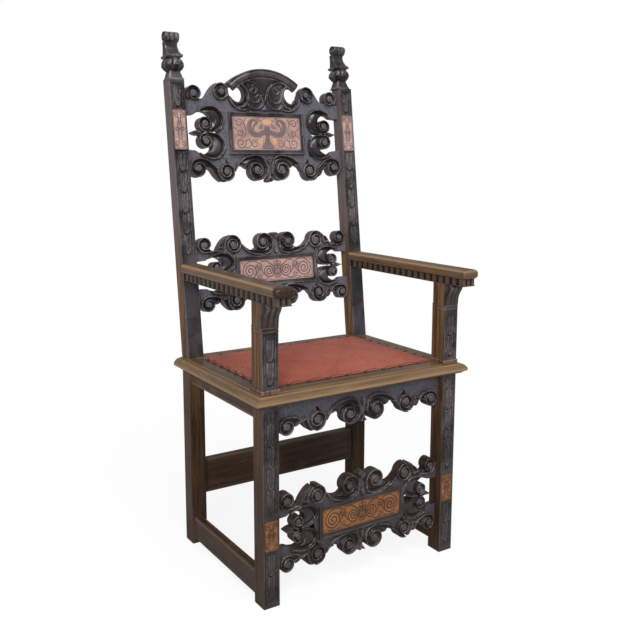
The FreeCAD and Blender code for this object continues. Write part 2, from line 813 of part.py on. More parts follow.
def make_arm_support():
    """Right arm support: plinth, reeded panel, beads and a reeded corbel, tenoned at both ends."""
    body = box(inner_face, half_width, 0, support_depth, seat_height, frieze_under)
    top_rear = [edge for edge in body.Edges
                if all(abs(vertex.Z - frieze_under) < tenon_fit
                       and abs(vertex.Y - support_depth) < tenon_fit
                       for vertex in edge.Vertexes)]
    body = body.makeFillet(shoulder_round, top_rear)
    corbel_foot = frieze_under - corbel_height
    body = panelled(body, [(seat_height + support_panel_foot, corbel_foot - leg_panel_gap)])
    pieces = [body, corbel(inner_face, half_width, corbel_reach - corbel_groove_depth)]
    lobe = (leg_width - 2 * corbel_groove) / 3
    for number in range(3):
        x0 = inner_face + number * (lobe + corbel_groove)
        pieces.append(corbel(x0, x0 + lobe, corbel_reach))
    for number in range(2):
        z = corbel_foot - number * bead_gap
        pieces.append(Part.makeCylinder(support_bead, leg_width, Vector(inner_face, 0, z),
                                        Vector(1, 0, 0)))
    plinth = box(inner_face - plinth_reach, half_width + plinth_reach, -plinth_reach,
                 support_depth, seat_height, seat_height + plinth_height)
    top_edges = [edge for edge in plinth.Edges
                 if all(abs(vertex.Z - seat_height - plinth_height) < tenon_fit
                        for vertex in edge.Vertexes)
                 and not all(vertex.Y > tenon_fit for vertex in edge.Vertexes)]
    pieces.append(plinth.makeChamfer(plinth_reach * 0.9, top_edges))
    pieces.append(support_tenon(seat_under - support_tenon_depth, seat_height + tenon_margin, 0))
    pieces.append(frieze_socket(0, 0))
    return fuse(pieces)


def square_frustum(x, y, z0, z1, low, high):
    """Square block that tapers from one width to another."""
    def ring(z, width):
        h = width / 2
        return Part.makePolygon([Vector(x - h, y - h, z), Vector(x + h, y - h, z),
                                 Vector(x + h, y + h, z), Vector(x - h, y + h, z),
                                 Vector(x - h, y - h, z)])
    return Part.makeLoft([ring(z0, low), ring(z1, high)], True)


def make_finial():
    """Right finial: tapered neck, lobed ball, square collar, bracket and forward roll."""
    x, y = leg_centre, post_top_depth / 2
    base = upright_length
    ball_z = base + finial_neck + finial_ball_height / 2 - tenon_margin
    neck = square_frustum(x, y, base, base + finial_neck, post_top_depth, finial_waist)
    ball = Part.makeSphere(finial_ball_radius, Vector(x, y, ball_z)).common(
        box(x - overrun * 2, x + overrun * 2, y - overrun * 2, y + overrun * 2,
            ball_z - finial_ball_height / 2, ball_z + finial_ball_height / 2))
    grooves = []
    for number in range(gadroon_count):
        turn = 2 * math.pi * (number + 0.5) / gadroon_count
        reach = finial_ball_radius + gadroon_radius * 0.7
        grooves.append(Part.makeCylinder(gadroon_radius, finial_ball_height,
                                         Vector(x + reach * math.cos(turn),
                                                y + reach * math.sin(turn),
                                                ball_z - finial_ball_height / 2)))
    collar_z = ball_z + finial_ball_height / 2 - tenon_margin / 3
    collar = box(x - finial_collar_width / 2, x + finial_collar_width / 2,
                 y - finial_collar_width / 2, y + finial_collar_width / 2, collar_z,
                 collar_z + finial_collar_height)
    collar = collar.makeChamfer(finial_collar_height / 3, [
        edge for edge in collar.Edges
        if abs(edge.Vertexes[0].Z - edge.Vertexes[-1].Z) < tenon_fit])
    bracket_z = collar_z + finial_collar_height - tenon_fit
    roll_z = bracket_z + finial_bracket_height + finial_roll_radius * 0.75
    rear = y + finial_bracket_width / 2
    roll_y = rear - finial_roll_radius
    front_foot = Vector(0, y - finial_bracket_width / 2, bracket_z)
    front_head = Vector(0, rear - finial_bracket_head, bracket_z + finial_bracket_height)
    hollow = Vector(0, front_foot.y * 0.35 + front_head.y * 0.65 + tenon_margin / 2,
                    (front_foot.z + front_head.z) / 2)
    edges = [
        Part.Arc(front_foot, hollow, front_head).toShape(),
        Part.makeLine(front_head, Vector(0, roll_y, roll_z)),
        Part.makeLine(Vector(0, roll_y, roll_z), Vector(0, rear, roll_z)),
        Part.makeLine(Vector(0, rear, roll_z), Vector(0, rear, bracket_z)),
        Part.makeLine(Vector(0, rear, bracket_z), front_foot),
    ]
    bracket = Part.Face(Part.Wire(edges)).extrude(Vector(finial_bracket_width, 0, 0))
    bracket.translate(Vector(x - finial_bracket_width / 2, 0, 0))
    roll = Part.makeCylinder(finial_roll_radius, finial_roll_length,
                             Vector(x - finial_roll_length / 2, roll_y, roll_z), Vector(1, 0, 0))
    for number in (-1, 1):
        groove_x = x + number * finial_roll_length / 6
        groove = Part.makeCylinder(finial_roll_radius + overrun, finial_roll_groove,
                                   Vector(groove_x - finial_roll_groove / 2, roll_y, roll_z),
                                   Vector(1, 0, 0))
        core = Part.makeCylinder(finial_roll_radius - finial_roll_groove, 2 * overrun,
                                 Vector(groove_x - overrun, roll_y, roll_z), Vector(1, 0, 0))
        roll = roll.cut(groove.cut(core))
    return raked(fuse([neck, cut(ball, grooves), collar, bracket, roll, finial_dowel(0, 0)]))


def make_crest_arch():
    """Segmental moulding over the crest rail, rebated over the board's top edge."""
    outer = crest_arch_radius
    inner = outer - crest_arch_section
    seat = inner + crest_arch_rebate + piece_fit
    y0 = -crest_arch_reach
    bevel = crest_arch_bevel
    outline = [(inner, relief), (inner, y0 + bevel), (inner + bevel, y0), (outer - bevel, y0),
               (outer, y0 + bevel), (outer, rail_thickness), (seat, rail_thickness),
               (seat, relief)]
    section = Part.Face(Part.makePolygon([Vector(0, y, crest_arch_centre + r)
                                          for r, y in outline + outline[:1]]))
    section.rotate(Vector(0, 0, crest_arch_centre), Vector(0, 1, 0), -crest_arch_half_angle)
    return section.revolve(Vector(0, 0, crest_arch_centre), Vector(0, 1, 0),
                           2 * crest_arch_half_angle)


def plan_prism(points, z0, z1):
    """Upright solid with an outline in X and Y."""
    return prism([Vector(x, y, z0) for x, y in points], Vector(0, 0, z1 - z0))


def nosed_board(length, depth):
    """Seat frame board along X, with its moulded nose to the front at Y zero."""
    def at(share):
        return Vector(0, nose_width * share[0], seat_under + seat_board * share[1])

    top, step, lip, tip, under, foot = [at(share) for share in nose_shares]
    bulge, hollow = at(nose_bulge_share), at(nose_hollow_share)
    back_low = Vector(0, depth, seat_under)
    back_high = Vector(0, depth, seat_height)
    edges = [
        Part.makeLine(top, step), Part.makeLine(step, lip),
        Part.Arc(lip, bulge, tip).toShape(), Part.makeLine(tip, under),
        Part.Arc(under, hollow, foot).toShape(), Part.makeLine(foot, back_low),
        Part.makeLine(back_low, back_high), Part.makeLine(back_high, top),
    ]
    return Part.Face(Part.Wire(edges)).extrude(Vector(length, 0, 0))


def make_seat_frame():
    """Front board, right side board and rear board of the seat frame."""
    outer = seat_width / 2
    front = -seat_front_overhang
    high = seat_height + overrun
    front_board = nosed_board(seat_width, front_board_depth)
    front_board.translate(Vector(-outer, front, 0))
    front_board = front_board.common(plan_prism(
        [(-outer, front), (outer, front), (opening_half, opening_front),
         (-opening_half, opening_front)], 0, high))
    side_board = nosed_board(seat_rear - front, outer - opening_half)
    side_board.rotate(Vector(0, 0, 0), Vector(0, 0, 1), 90)
    side_board.translate(Vector(outer, front, 0))
    beside = half_width + piece_fit
    side_board = side_board.common(plan_prism(
        [(outer, front), (outer, seat_rear), (beside, seat_rear), (beside, leg_spacing),
         (opening_half, leg_spacing), (opening_half, opening_front)], 0, high))
    between = inner_face - piece_fit
    rear_board = fuse([
        box(-between, between, leg_spacing + piece_fit, seat_rear, seat_under, seat_height),
        box(-opening_half, opening_half, opening_rear, leg_spacing + 2 * piece_fit, seat_under,
            seat_height)])
    rebate = box(-opening_half - rebate_width, opening_half + rebate_width,
                 opening_front - rebate_width, opening_rear + rebate_width,
                 seat_height - rebate_depth, seat_height + overrun)
    hole = support_tenon(seat_under - overrun, seat_height + overrun, tenon_fit)
    return (cut(front_board, [rebate, hole, mirrored(hole)]), cut(side_board, [rebate, hole]),
            cut(rear_board, [rebate]))


def make_side_board(foot, top):
    """Side seat rail or side stretcher on the right, tenoned into leg and post."""
    outer = half_width - side_rail_inset
    board = box(outer - rail_board, outer, front_leg_depth, leg_spacing, foot, top)
    return fuse([board, side_tenon(front_leg_depth - tenon_length, front_leg_depth
                                   + tenon_margin, foot, top),
                 side_tenon(leg_spacing - tenon_margin, leg_spacing + tenon_length, foot, top)])


def make_rear_board(foot, top):
    """Rear seat rail or rear stretcher between the posts, tenoned at both ends."""
    y0 = leg_spacing + rear_rail_setback
    depth = y0 + (rail_board - tenon_thickness) / 2
    half = tenon(inner_face, foot, top, depth)
    return fuse([box(-inner_face, inner_face, y0, y0 + rail_board, foot, top), half,
                 mirrored(half)])


def crowned(half_x, y0, y1, foot, edge, crown):
    """Seat pad: flat below, crowned both ways above."""
    half_y = (y1 - y0) / 2

    def arched(half, reach):
        """Bar along Y with an arched top, centred on the origin."""
        spread = half + pad_spread
        ends = Vector(-spread, -reach, edge), Vector(spread, -reach, edge)
        low = Vector(-spread, -reach, foot), Vector(spread, -reach, foot)
        top = Part.Arc(ends[0], Vector(0, -reach, edge + crown), ends[1]).toShape()
        wire = Part.Wire([top, Part.makeLine(ends[1], low[1]), Part.makeLine(low[1], low[0]),
                          Part.makeLine(low[0], ends[0])])
        return Part.Face(wire).extrude(Vector(0, 2 * reach, 0))

    across = arched(half_x, half_y + pad_spread / 2)
    along = arched(half_y, half_x + pad_spread / 2)
    along.rotate(Vector(0, 0, 0), Vector(0, 0, 1), 90)
    trim = box(-half_x, half_x, -half_y, half_y, foot - overrun, edge + crown + overrun)
    body = across.common(along).common(trim)
    body.translate(Vector(0, (y0 + y1) / 2, 0))
    return body


def make_upholstery():
    """Webbing, base cloth, stuffing, cover and tacks of the seat, with the tacks' holes."""
    web_z = seat_height - rebate_depth
    bearing = rebate_width - piece_fit
    strips = []
    for number in range(web_count):
        share = (number + 0.5) / web_count
        y = opening_front + (opening_rear - opening_front) * share
        strips.append(box(-opening_half - bearing, opening_half + bearing, y - web_width / 2,
                          y + web_width / 2, web_z, web_z + web_thickness))
        x = opening_half * (2 * share - 1)
        upper = web_z + web_thickness + web_gap
        strips.append(box(x - web_width / 2, x + web_width / 2, opening_front - bearing,
                          opening_rear + bearing, upper, upper + web_thickness))
    cloth_z = web_z + 2 * (web_thickness + web_gap)
    cloth = box(-opening_half - bearing, opening_half + bearing, opening_front - bearing,
                opening_rear + bearing, cloth_z, cloth_z + base_cloth)
    pad_z = cloth_z + base_cloth + web_gap
    pad_reach = rebate_width - pad_inset
    pad = crowned(opening_half + pad_reach, opening_front - pad_reach, opening_rear + pad_reach,
                  pad_z, seat_height + pad_edge, pad_crown)
    inner = crowned(opening_half + pad_reach + soft_gap, opening_front - pad_reach - soft_gap,
                    opening_rear + pad_reach + soft_gap, seat_height,
                    seat_height + pad_edge + soft_gap, pad_crown)
    skin = pad_reach + soft_gap + cover_thickness
    outer = crowned(opening_half + skin, opening_front - skin, opening_rear + skin,
                    seat_height + web_gap,
                    seat_height + pad_edge + soft_gap + cover_thickness, pad_crown)
    border = box(-opening_half - cover_border, opening_half + cover_border,
                 opening_front - cover_border, opening_rear + cover_border,
                 seat_height + web_gap, seat_height + web_gap + cover_thickness)
    cover = fuse([outer, border]).cut(inner)
    reach = plinth_reach + soft_gap
    corners = []
    for side in (box(inner_face - reach, half_width, -overrun, support_depth + soft_gap, 0,
                     arm_underside),
                 box(inner_face - soft_gap, half_width, leg_spacing - soft_gap, seat_rear, 0,
                     arm_underside)):
        corners += [side, mirrored(side)]
    cover = cut(cover, corners)
    places = []
    edge = cover_border - tack_edge
    for number in range(tack_count_front):
        x = (opening_half - tack_edge) * (2 * (number + 0.5) / tack_count_front - 1)
        places += [(x, opening_front - edge), (x, opening_rear + edge)]
    low = support_depth + 2 * tack_head_radius
    high = leg_spacing - 2 * tack_head_radius
    for number in range(tack_count_side):
        y = low + (high - low) * number / (tack_count_side - 1)
        places += [(-opening_half - edge, y), (opening_half + edge, y)]
    top = seat_height + web_gap + cover_thickness
    tacks, holes = [], []
    for x, y in places:
        radius = (tack_head_radius ** 2 + tack_head_height ** 2) / (2 * tack_head_height)
        head = Part.makeSphere(radius, Vector(x, y, top + tack_head_height - radius)).common(
            box(x - overrun, x + overrun, y - overrun, y + overrun, top, top + overrun))
        shank = Part.makeCylinder(tack_shank_radius, tack_shank_length + tack_shank_radius,
                                  Vector(x, y, top - tack_shank_length))
        tacks.append(head.fuse(shank))
        holes.append(Part.makeCylinder(tack_shank_radius + tenon_fit, tack_shank_length
                                       + mortise_end_gap + tack_head_height,
                                       Vector(x, y, top - tack_shank_length
                                              - mortise_end_gap)))
    return (Part.makeCompound(strips), cloth, pad, cut(cover, holes),
            Part.makeCompound(tacks), holes)


def rail_plaque(width, height):
    """Plaque of a carved board, in its recess."""
    return box(piece_fit - width / 2, width / 2 - piece_fit, relief, relief + plaque_thickness,
               piece_fit - height / 2, height / 2 - piece_fit)


def on_back(shape, middle):
    """Carved board, or a piece on it, placed between the raked posts."""
    placed = shape.copy()
    placed.translate(Vector(0, back_setback, middle))
    return raked(placed)


def on_front(shape):
    """Carved board, or a piece on it, placed between the front legs."""
    placed = shape.copy()
    placed.translate(Vector(0, front_setback, stretcher_middle))
    return placed


def make_chair():
    """Every piece by its name, in the working frame."""
    pieces = {}

    def pair(name, right):
        pieces[name + "_right"] = right
        pieces[name + "_left"] = mirrored(right)

    post, post_plaque = make_post()
    leg, leg_plaque = make_front_leg()
    pair("rear_post", post)
    pair("front_leg", leg)
    pair("post_plaque", post_plaque)
    pair("leg_plaque", leg_plaque)
    pair("finial", make_finial())
    pair("arm_support", make_arm_support())
    pair("arm_frieze", make_arm_frieze())
    pair("arm_board", make_arm_board())
    pair("side_seat_rail", make_side_board(side_rail_foot, seat_under))
    pair("side_stretcher", make_side_board(side_stretcher_foot, side_stretcher_top))
    pieces["rear_seat_rail"] = make_rear_board(rear_rail_foot, seat_under)
    pieces["rear_stretcher"] = make_rear_board(rear_stretcher_foot, rear_stretcher_top)
    pieces["crest_rail"] = on_back(make_crest_rail(), crest_middle)
    pieces["crest_arch_moulding"] = on_back(make_crest_arch(), crest_middle)
    pieces["crest_plaque"] = on_back(rail_plaque(crest_plaque_width, crest_plaque_height),
                                     crest_middle)
    strip = make_strip_rail()
    strip_plaque = rail_plaque(strip_plaque_width, strip_plaque_height)
    pieces["lower_back_rail"] = on_back(strip, lower_middle)
    pieces["lower_back_plaque"] = on_back(strip_plaque, lower_middle)
    pieces["front_stretcher"] = on_front(strip)
    pieces["front_stretcher_plaque"] = on_front(strip_plaque)
    pieces["front_apron"] = make_apron()
    webbing, cloth, pad, cover, tacks, holes = make_upholstery()
    front_board, side_board, rear_board = make_seat_frame()
    pieces["seat_frame_front"] = cut(front_board, holes)
    pieces["seat_frame_rear"] = cut(rear_board, holes)
    pair("seat_frame", cut(side_board, holes))
    pieces["seat_webbing"] = webbing
    pieces["seat_base_cloth"] = cloth
    pieces["seat_stuffing"] = pad
    pieces["seat_cover"] = cover
    pieces["seat_tacks"] = tacks
    return pieces


def main():
    """Builds the chair and writes one file per piece, with the origin under its middle."""
    pieces = make_chair()
    ends = [pieces[name].optimalBoundingBox() for name in ("arm_board_right", "finial_right")]
    to_middle = Vector(0, -(ends[0].YMin + ends[1].YMax) / 2, 0)
    os.makedirs("parts", exist_ok=True)
    for name, shape in pieces.items():
        shape.translate(to_middle)
        shape.exportStep("parts/" + name + ".step")


main()
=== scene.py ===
"""The wainscot armchair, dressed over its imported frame.

Sizes inside the classes are millimetres and become metres when a mesh is made. X runs to the
right as seen by someone who faces the chair, Y to the back and Z up, as in the frame.
"""

import logging
import math
from dataclasses import dataclass, field
from enum import Enum

import bpy
import numpy as np
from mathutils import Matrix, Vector, geometry


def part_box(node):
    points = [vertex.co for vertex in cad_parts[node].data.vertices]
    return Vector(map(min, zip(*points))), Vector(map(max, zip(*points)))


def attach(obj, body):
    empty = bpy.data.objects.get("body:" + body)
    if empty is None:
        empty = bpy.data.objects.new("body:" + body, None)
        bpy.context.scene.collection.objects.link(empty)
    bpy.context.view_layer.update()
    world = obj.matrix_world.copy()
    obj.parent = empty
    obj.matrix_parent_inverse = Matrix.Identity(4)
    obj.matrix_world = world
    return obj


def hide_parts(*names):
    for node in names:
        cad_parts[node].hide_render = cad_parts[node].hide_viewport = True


MM = 0.001
FAR = 1000.0
IMAGE_SIDE = 640
TACK_EDGE = 3.6
JOINT_GAP = 0.1
TINY = 1e-9
CLOSE = 1e-6
BODY = "root"

log = logging.getLogger("chair")
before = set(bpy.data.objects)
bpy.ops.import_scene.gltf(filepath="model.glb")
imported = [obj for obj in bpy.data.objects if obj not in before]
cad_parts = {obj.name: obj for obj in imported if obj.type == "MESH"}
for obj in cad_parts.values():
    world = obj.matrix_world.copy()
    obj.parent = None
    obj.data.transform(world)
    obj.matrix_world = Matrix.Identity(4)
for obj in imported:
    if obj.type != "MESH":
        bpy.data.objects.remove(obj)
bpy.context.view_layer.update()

Pairs = tuple[tuple[float, float], ...]
Boxes = tuple[tuple[float, float, float, float], ...]


class Side(Enum):
    """Side of the chair, as seen by someone who faces it."""

    LEFT = -1
    RIGHT = 1

    def node(self, group: str) -> str:
        """Name of a group's CAD node on this side."""
        return f"{group}_{self.name.lower()}"


class Row(Enum):
    """Which edge of a board a row of scrolls stands on."""

    LOWER = -1
    UPPER = 1


class Grain(Enum):
    """Direction that the wood's grain runs in."""

    ACROSS = (1.0, 22.0, 22.0)
    BACKWARD = (22.0, 1.0, 22.0)
    UPRIGHT = (22.0, 22.0, 1.0)


def corner(node: str, high: bool = False) -> Vector:
    """Corner of a CAD node's box in mm.

    Args:
        node: name of the CAD node.
        high: True for the highest corner, False for the lowest.

    Returns:
        The corner.
    """
    return Vector(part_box(node)[int(high)]) / MM


def ends(node: str) -> tuple[Vector, Vector]:
    """Lowest and highest corner of a CAD node's box in mm."""
    return corner(node), corner(node, True)


# Materials


class Recipe:
    """Builds one node material step by step."""

    def __init__(self, name: str) -> None:
        """Starts an empty material with a Principled shader.

        Args:
            name: name of the material.
        """
        self.material = bpy.data.materials.new(name)
        self.material.use_nodes = True
        self.tree = self.material.node_tree
        self.shader = self.tree.nodes["Principled BSDF"]
        self.place = self.node("ShaderNodeTexCoord").outputs["Object"]

    def node(self, kind: str, **inputs: object) -> bpy.types.Node:
        """Adds a node and fills the inputs whose names are given.

        Args:
            kind: Blender's name of the node type.
            inputs: values or sockets by input name, with _ for a space; a name that the node has
                as a property sets that instead.

        Returns:
            The node.
        """
        made = self.tree.nodes.new(kind)
        for key, value in inputs.items():
            if hasattr(made, key):
                setattr(made, key, value)
                continue
            self.feed(made.inputs[key.replace("_", " ")], value)
        return made

    def feed(self, socket: bpy.types.NodeSocket, value: object) -> None:
        """Links an input to another socket, or sets its constant.

        Args:
            socket: the input.
            value: value or socket.
        """
        if isinstance(value, bpy.types.NodeSocket):
            self.tree.links.new(value, socket)
        else:
            socket.default_value = value

    def noise(self, scale: float, stretch: tuple[float, float, float] = (1, 1, 1),
              detail: float = 4.0, rough: float = 0.55, twist: float = 0.0) -> bpy.types.NodeSocket:
        """Noise on the piece's own coordinates.

        Args:
            scale: waves per metre.
            stretch: factor on each axis.
            detail: octaves.
            rough: strength of the finer octaves.
            twist: distortion.

        Returns:
            The noise value, 0 to 1.
        """
        moved = self.node("ShaderNodeMapping", Vector=self.place)
        moved.inputs["Scale"].default_value = stretch
        made = self.node("ShaderNodeTexNoise", Vector=moved.outputs[0], Scale=scale, Detail=detail,
                         Roughness=rough, Distortion=twist)
        return made.outputs["Fac"]

    def attribute(self, name: str) -> bpy.types.NodeSocket:
        """Value of a mesh attribute."""
        return self.node("ShaderNodeAttribute", attribute_name=name).outputs["Fac"]

    def span(self, value: bpy.types.NodeSocket, low: float, high: float, start: float = 0.0,
             end: float = 1.0) -> bpy.types.NodeSocket:
        """Maps a range of a value onto another range, clamped and smoothed.

        Args:
            value: what is mapped.
            low: value that gives start.
            high: value that gives end.
            start: result at low.
            end: result at high.

        Returns:
            The mapped value.
        """
        made = self.node("ShaderNodeMapRange", interpolation_type="SMOOTHSTEP")
        self.tree.links.new(value, made.inputs["Value"])
        for key, number in zip(("From Min", "From Max", "To Min", "To Max"),
                               (low, high, start, end)):
            made.inputs[key].default_value = number
        return made.outputs[0]

    def mix(self, share: object, low: object, high: object) -> bpy.types.NodeSocket:
        """Mixes two colours.

        Args:
            share: 0 for all low, 1 for all high.
            low: colour or socket.
            high: colour or socket.

        Returns:
            The mixed colour.
        """
        made = self.node("ShaderNodeMix", data_type="RGBA")
        for index, value in ((0, share), (6, low), (7, high)):
            plain = index and not isinstance(value, bpy.types.NodeSocket)
            self.feed(made.inputs[index], (*value, 1.0) if plain else value)
        return made.outputs[2]

    def math(self, operation: str, first: object, second: object = 0.0) -> bpy.types.NodeSocket:
        """Joins two values with an operation.

        Args:
            operation: Blender's name of it.
            first: value or socket.
            second: value or socket.

        Returns:
            The result.
        """
        made = self.node("ShaderNodeMath", operation=operation)
        for index, value in enumerate((first, second)):
            self.feed(made.inputs[index], value)
        return made.outputs[0]

    def bump(self, height: bpy.types.NodeSocket, distance: float,
             strength: float = 1.0) -> None:
        """Adds a bump to those that the material has.

        Args:
            height: the height, 0 to 1.
            distance: how far 1 stands up, in mm.
            strength: share of the bump that shows.
        """
        made = self.node("ShaderNodeBump", Strength=strength, Distance=distance * MM,
                         Height=height)
        link = next(iter(self.shader.inputs["Normal"].links), None)
        if link:
            self.tree.links.new(link.from_socket, made.inputs["Normal"])
        self.tree.links.new(made.outputs[0], self.shader.inputs["Normal"])

    def threads(self, pitch: float) -> tuple[bpy.types.Node, bpy.types.NodeSocket]:
        """Crossed threads of a plain weave.

        Args:
            pitch: distance between threads, mm.

        Returns:
            The node that splits the place into its axes, and the threads' height, -1 to 1.
        """
        turns = 2 * math.pi / (pitch * MM)
        split = self.node("ShaderNodeSeparateXYZ", Vector=self.place)
        warp, weft = (self.math("SINE", self.math("MULTIPLY", split.outputs[axis], turns))
                      for axis in (0, 1))
        return split, self.math("MULTIPLY", warp, weft)

    def level(self, low: float, high: float, bottom: float, top: float) -> bpy.types.NodeSocket:
        """Value that goes from bottom to top between two heights, in metres."""
        split = self.node("ShaderNodeSeparateXYZ", Vector=self.place)
        return self.span(split.outputs[2], low, high, bottom, top)

    def finish(self, colour: bpy.types.NodeSocket, roughness: object,
               specular: object = 0.5) -> bpy.types.Material:
        """Sets the shader's colour and gloss.

        Args:
            colour: base colour.
            roughness: value or socket.
            specular: specular level, value or socket.

        Returns:
            The material.
        """
        self.tree.links.new(colour, self.shader.inputs["Base Color"])
        for value, name in ((roughness, "Roughness"), (specular, "Specular IOR Level")):
            self.feed(self.shader.inputs[name], value)
        return self.material


Colour = tuple[float, float, float]


@dataclass(frozen=True)
class OakFinish:
    """Oak under an old stain: figure, pores, worn patches, a waxed sheen and painted shade towards
    the floor and in marked recesses.
    """

    name: str
    deep: Colour
    light: Colour
    worn: Colour
    grain: Grain
    wear: float = 0.35
    gloss: float = 0.42
    figure: float = 7.0
    stain: float = 0.6
    painted_foot_shade: float = 0.45

    def make(self) -> bpy.types.Material:
        """Builds the material.

        Returns:
            The material.
        """
        recipe = Recipe(f"{self.name}_{self.grain.name.lower()}")
        stretch = self.grain.value
        figure = recipe.noise(self.figure, stretch, 6.0, 0.6, 0.6)
        streak = recipe.noise(self.figure * 5, stretch, 4.0, 0.7)
        patch = recipe.noise(9.0, (1, 1, 1), 5.0, 0.6, 0.4)
        pore = recipe.noise(self.figure * 22, stretch, 2.0, 0.5)
        colour = recipe.mix(recipe.span(figure, 0.32, 0.68), self.deep, self.light)
        colour = recipe.mix(recipe.span(streak, 0.5, 0.72, 0.0, 0.6), colour, self.deep)
        stain = recipe.noise(6.0, (1, 1, 1), 5.0, 0.6, 0.6)
        colour = recipe.mix(recipe.span(stain, 0.48, 0.66, 0.0, self.stain), colour, self.deep)
        rub = recipe.span(patch, 0.62 - 0.25 * self.wear, 0.8, 0.0, self.wear)
        edge = recipe.math("MAXIMUM", rub, recipe.attribute("wear"))
        colour = recipe.mix(edge, colour, self.worn)
        pores = recipe.span(pore, 0.6, 0.7, 0.0, 0.55)
        dark = tuple(0.35 * part for part in self.deep)
        colour = recipe.mix(pores, colour, dark)
        # Darkened mark: painted shade on the frieze's sunk core between the reeds, and a darker
        # front end on the arm boards.
        colour = recipe.mix(recipe.attribute("grime"), colour, dark)
        # Painted shade: the oak darkens towards the floor.
        colour = recipe.mix(recipe.level(0.0, 0.45, self.painted_foot_shade, 0.0), colour, dark)
        rough = recipe.span(patch, 0.3, 0.7, self.gloss - 0.08, self.gloss + 0.12)
        recipe.bump(figure, 0.25, 0.5)
        recipe.bump(recipe.math("SUBTRACT", 1.0, pores), 0.12, 0.6)
        return recipe.finish(colour, rough, 0.3)


@dataclass(frozen=True)
class CarvedFinish:
    """Ebonised carving: worn rims with painted highlights, hollows painted black as shade and a
    punched ground.
    """

    name: str
    deep: Colour
    light: Colour
    rim: Colour
    ground: Colour
    hollow: Colour
    flank_deep: Colour = (0.068, 0.032, 0.015)
    flank_light: Colour = (0.230, 0.122, 0.060)
    # Painted light: the upper flanks turn this lighter grey, as if lit from above.
    painted_flank_light: Colour = (0.170, 0.140, 0.148)
    # Painted shade: colour that the carving and its flanks darken to towards the floor.
    darkening: Colour = (0.020, 0.012, 0.008)
    rim_wear_and_highlight: float = 0.7
    punch_pitch: float = 2.6
    painted_foot_shade: float = 0.6

    def make(self) -> bpy.types.Material:
        """Builds the material.

        Returns:
            The material.
        """
        recipe = Recipe(self.name)
        patch = recipe.noise(14.0, (1, 1, 1), 5.0, 0.6, 0.5)
        fine = recipe.noise(160.0, (1, 1, 1), 4.0, 0.6)
        grain = recipe.noise(30.0, (0.5, 8.0, 8.0), 4.0, 0.6)
        upright = recipe.noise(7.0, Grain.UPRIGHT.value, 5.0, 0.6, 0.5)
        colour = recipe.mix(recipe.span(patch, 0.35, 0.65), self.deep, self.light)
        flank = recipe.mix(recipe.span(upright, 0.34, 0.66), self.flank_deep, self.flank_light)
        # Painted light: the flanks turn lighter grey towards the top.
        flank = recipe.mix(recipe.level(0.7, 0.85, 0.0, 0.8), flank, self.painted_flank_light)
        # Painted shade: the flanks darken towards the floor.
        flank = recipe.mix(recipe.level(0.3, 0.5, 0.35, 0.0), flank, self.darkening)
        streak = recipe.noise(34.0, Grain.UPRIGHT.value, 3.0, 0.6)
        flank = recipe.mix(recipe.span(streak, 0.52, 0.7, 0.0, 0.5), flank, self.flank_deep)
        colour = recipe.mix(recipe.attribute("side"), colour, flank)
        punch = recipe.node("ShaderNodeTexVoronoi", Vector=recipe.place,
                            Scale=1 / (self.punch_pitch * MM)).outputs["Distance"]
        pits = recipe.span(punch, 0.1, 0.5)
        # Punched ground: the pits take the near-black hollow colour, the rest a bluish grey that is
        # partly painted sheen.
        ground = recipe.attribute("ground")
        stone = recipe.mix(pits, self.hollow, self.ground)
        colour = recipe.mix(ground, colour, stone)
        # Painted shade: the cove mark turns hollows, grooves and recesses near black.
        colour = recipe.mix(recipe.attribute("cove"), colour, self.hollow)
        scuff = recipe.math("MULTIPLY", recipe.span(fine, 0.35, 0.62, 0.15, 1.0),
                            recipe.span(patch, 0.35, 0.62, 0.25, 1.0))
        # Rims: the colour of wear, which is also a painted highlight.
        worn = recipe.math("MULTIPLY", recipe.attribute("rim"), scuff)
        worn = recipe.math("MULTIPLY", worn, self.rim_wear_and_highlight)
        colour = recipe.mix(worn, colour, self.rim)
        # Painted shade: the carving darkens towards the floor.
        colour = recipe.mix(recipe.level(0.1, 0.65, self.painted_foot_shade, 0.0), colour, self.darkening)
        rough = recipe.span(patch, 0.3, 0.7, 0.26, 0.46)
        recipe.bump(grain, 0.35, 0.4)
        recipe.bump(recipe.math("MULTIPLY", pits, ground), 0.9, 0.8)
        recipe.bump(fine, 0.3, 0.4)
        return recipe.finish(colour, rough,
                             recipe.span(recipe.attribute("side"), 0.0, 1.0, 0.6, 0.15))


@dataclass(frozen=True)
class InlayFinish:
    """Veneered plaque with engraved lines and tinted leaves."""

    name: str
    field: Colour
    shade: Colour
    line: Colour
    leaf: Colour
    smoke: Colour

    def make(self) -> bpy.types.Material:
        """Builds the material.

        Returns:
            The material.
        """
        recipe = Recipe(self.name)
        cloud = recipe.noise(22.0, (1, 1, 1.6), 5.0, 0.6, 0.4)
        grain = recipe.noise(60.0, (0.6, 9.0, 9.0), 4.0, 0.6)
        colour = recipe.mix(recipe.span(cloud, 0.35, 0.68), self.field, self.shade)
        colour = recipe.mix(recipe.span(grain, 0.5, 0.75, 0.0, 0.25), colour, self.line)
        speck = recipe.noise(420.0, (1, 1, 1), 2.0, 0.6)
        colour = recipe.mix(recipe.span(speck, 0.5, 0.68, 0.0, 0.35), colour, self.line)
        colour = recipe.mix(recipe.attribute("smoke"), colour, self.smoke)
        colour = recipe.mix(recipe.attribute("leaf"), colour, self.leaf)
        colour = recipe.mix(recipe.attribute("line"), colour, self.line)
        recipe.bump(recipe.math("SUBTRACT", 1.0, recipe.attribute("line")), 0.3, 0.5)
        recipe.bump(grain, 0.08, 0.5)
        return recipe.finish(colour, recipe.span(cloud, 0.3, 0.7, 0.38, 0.5), 0.35)


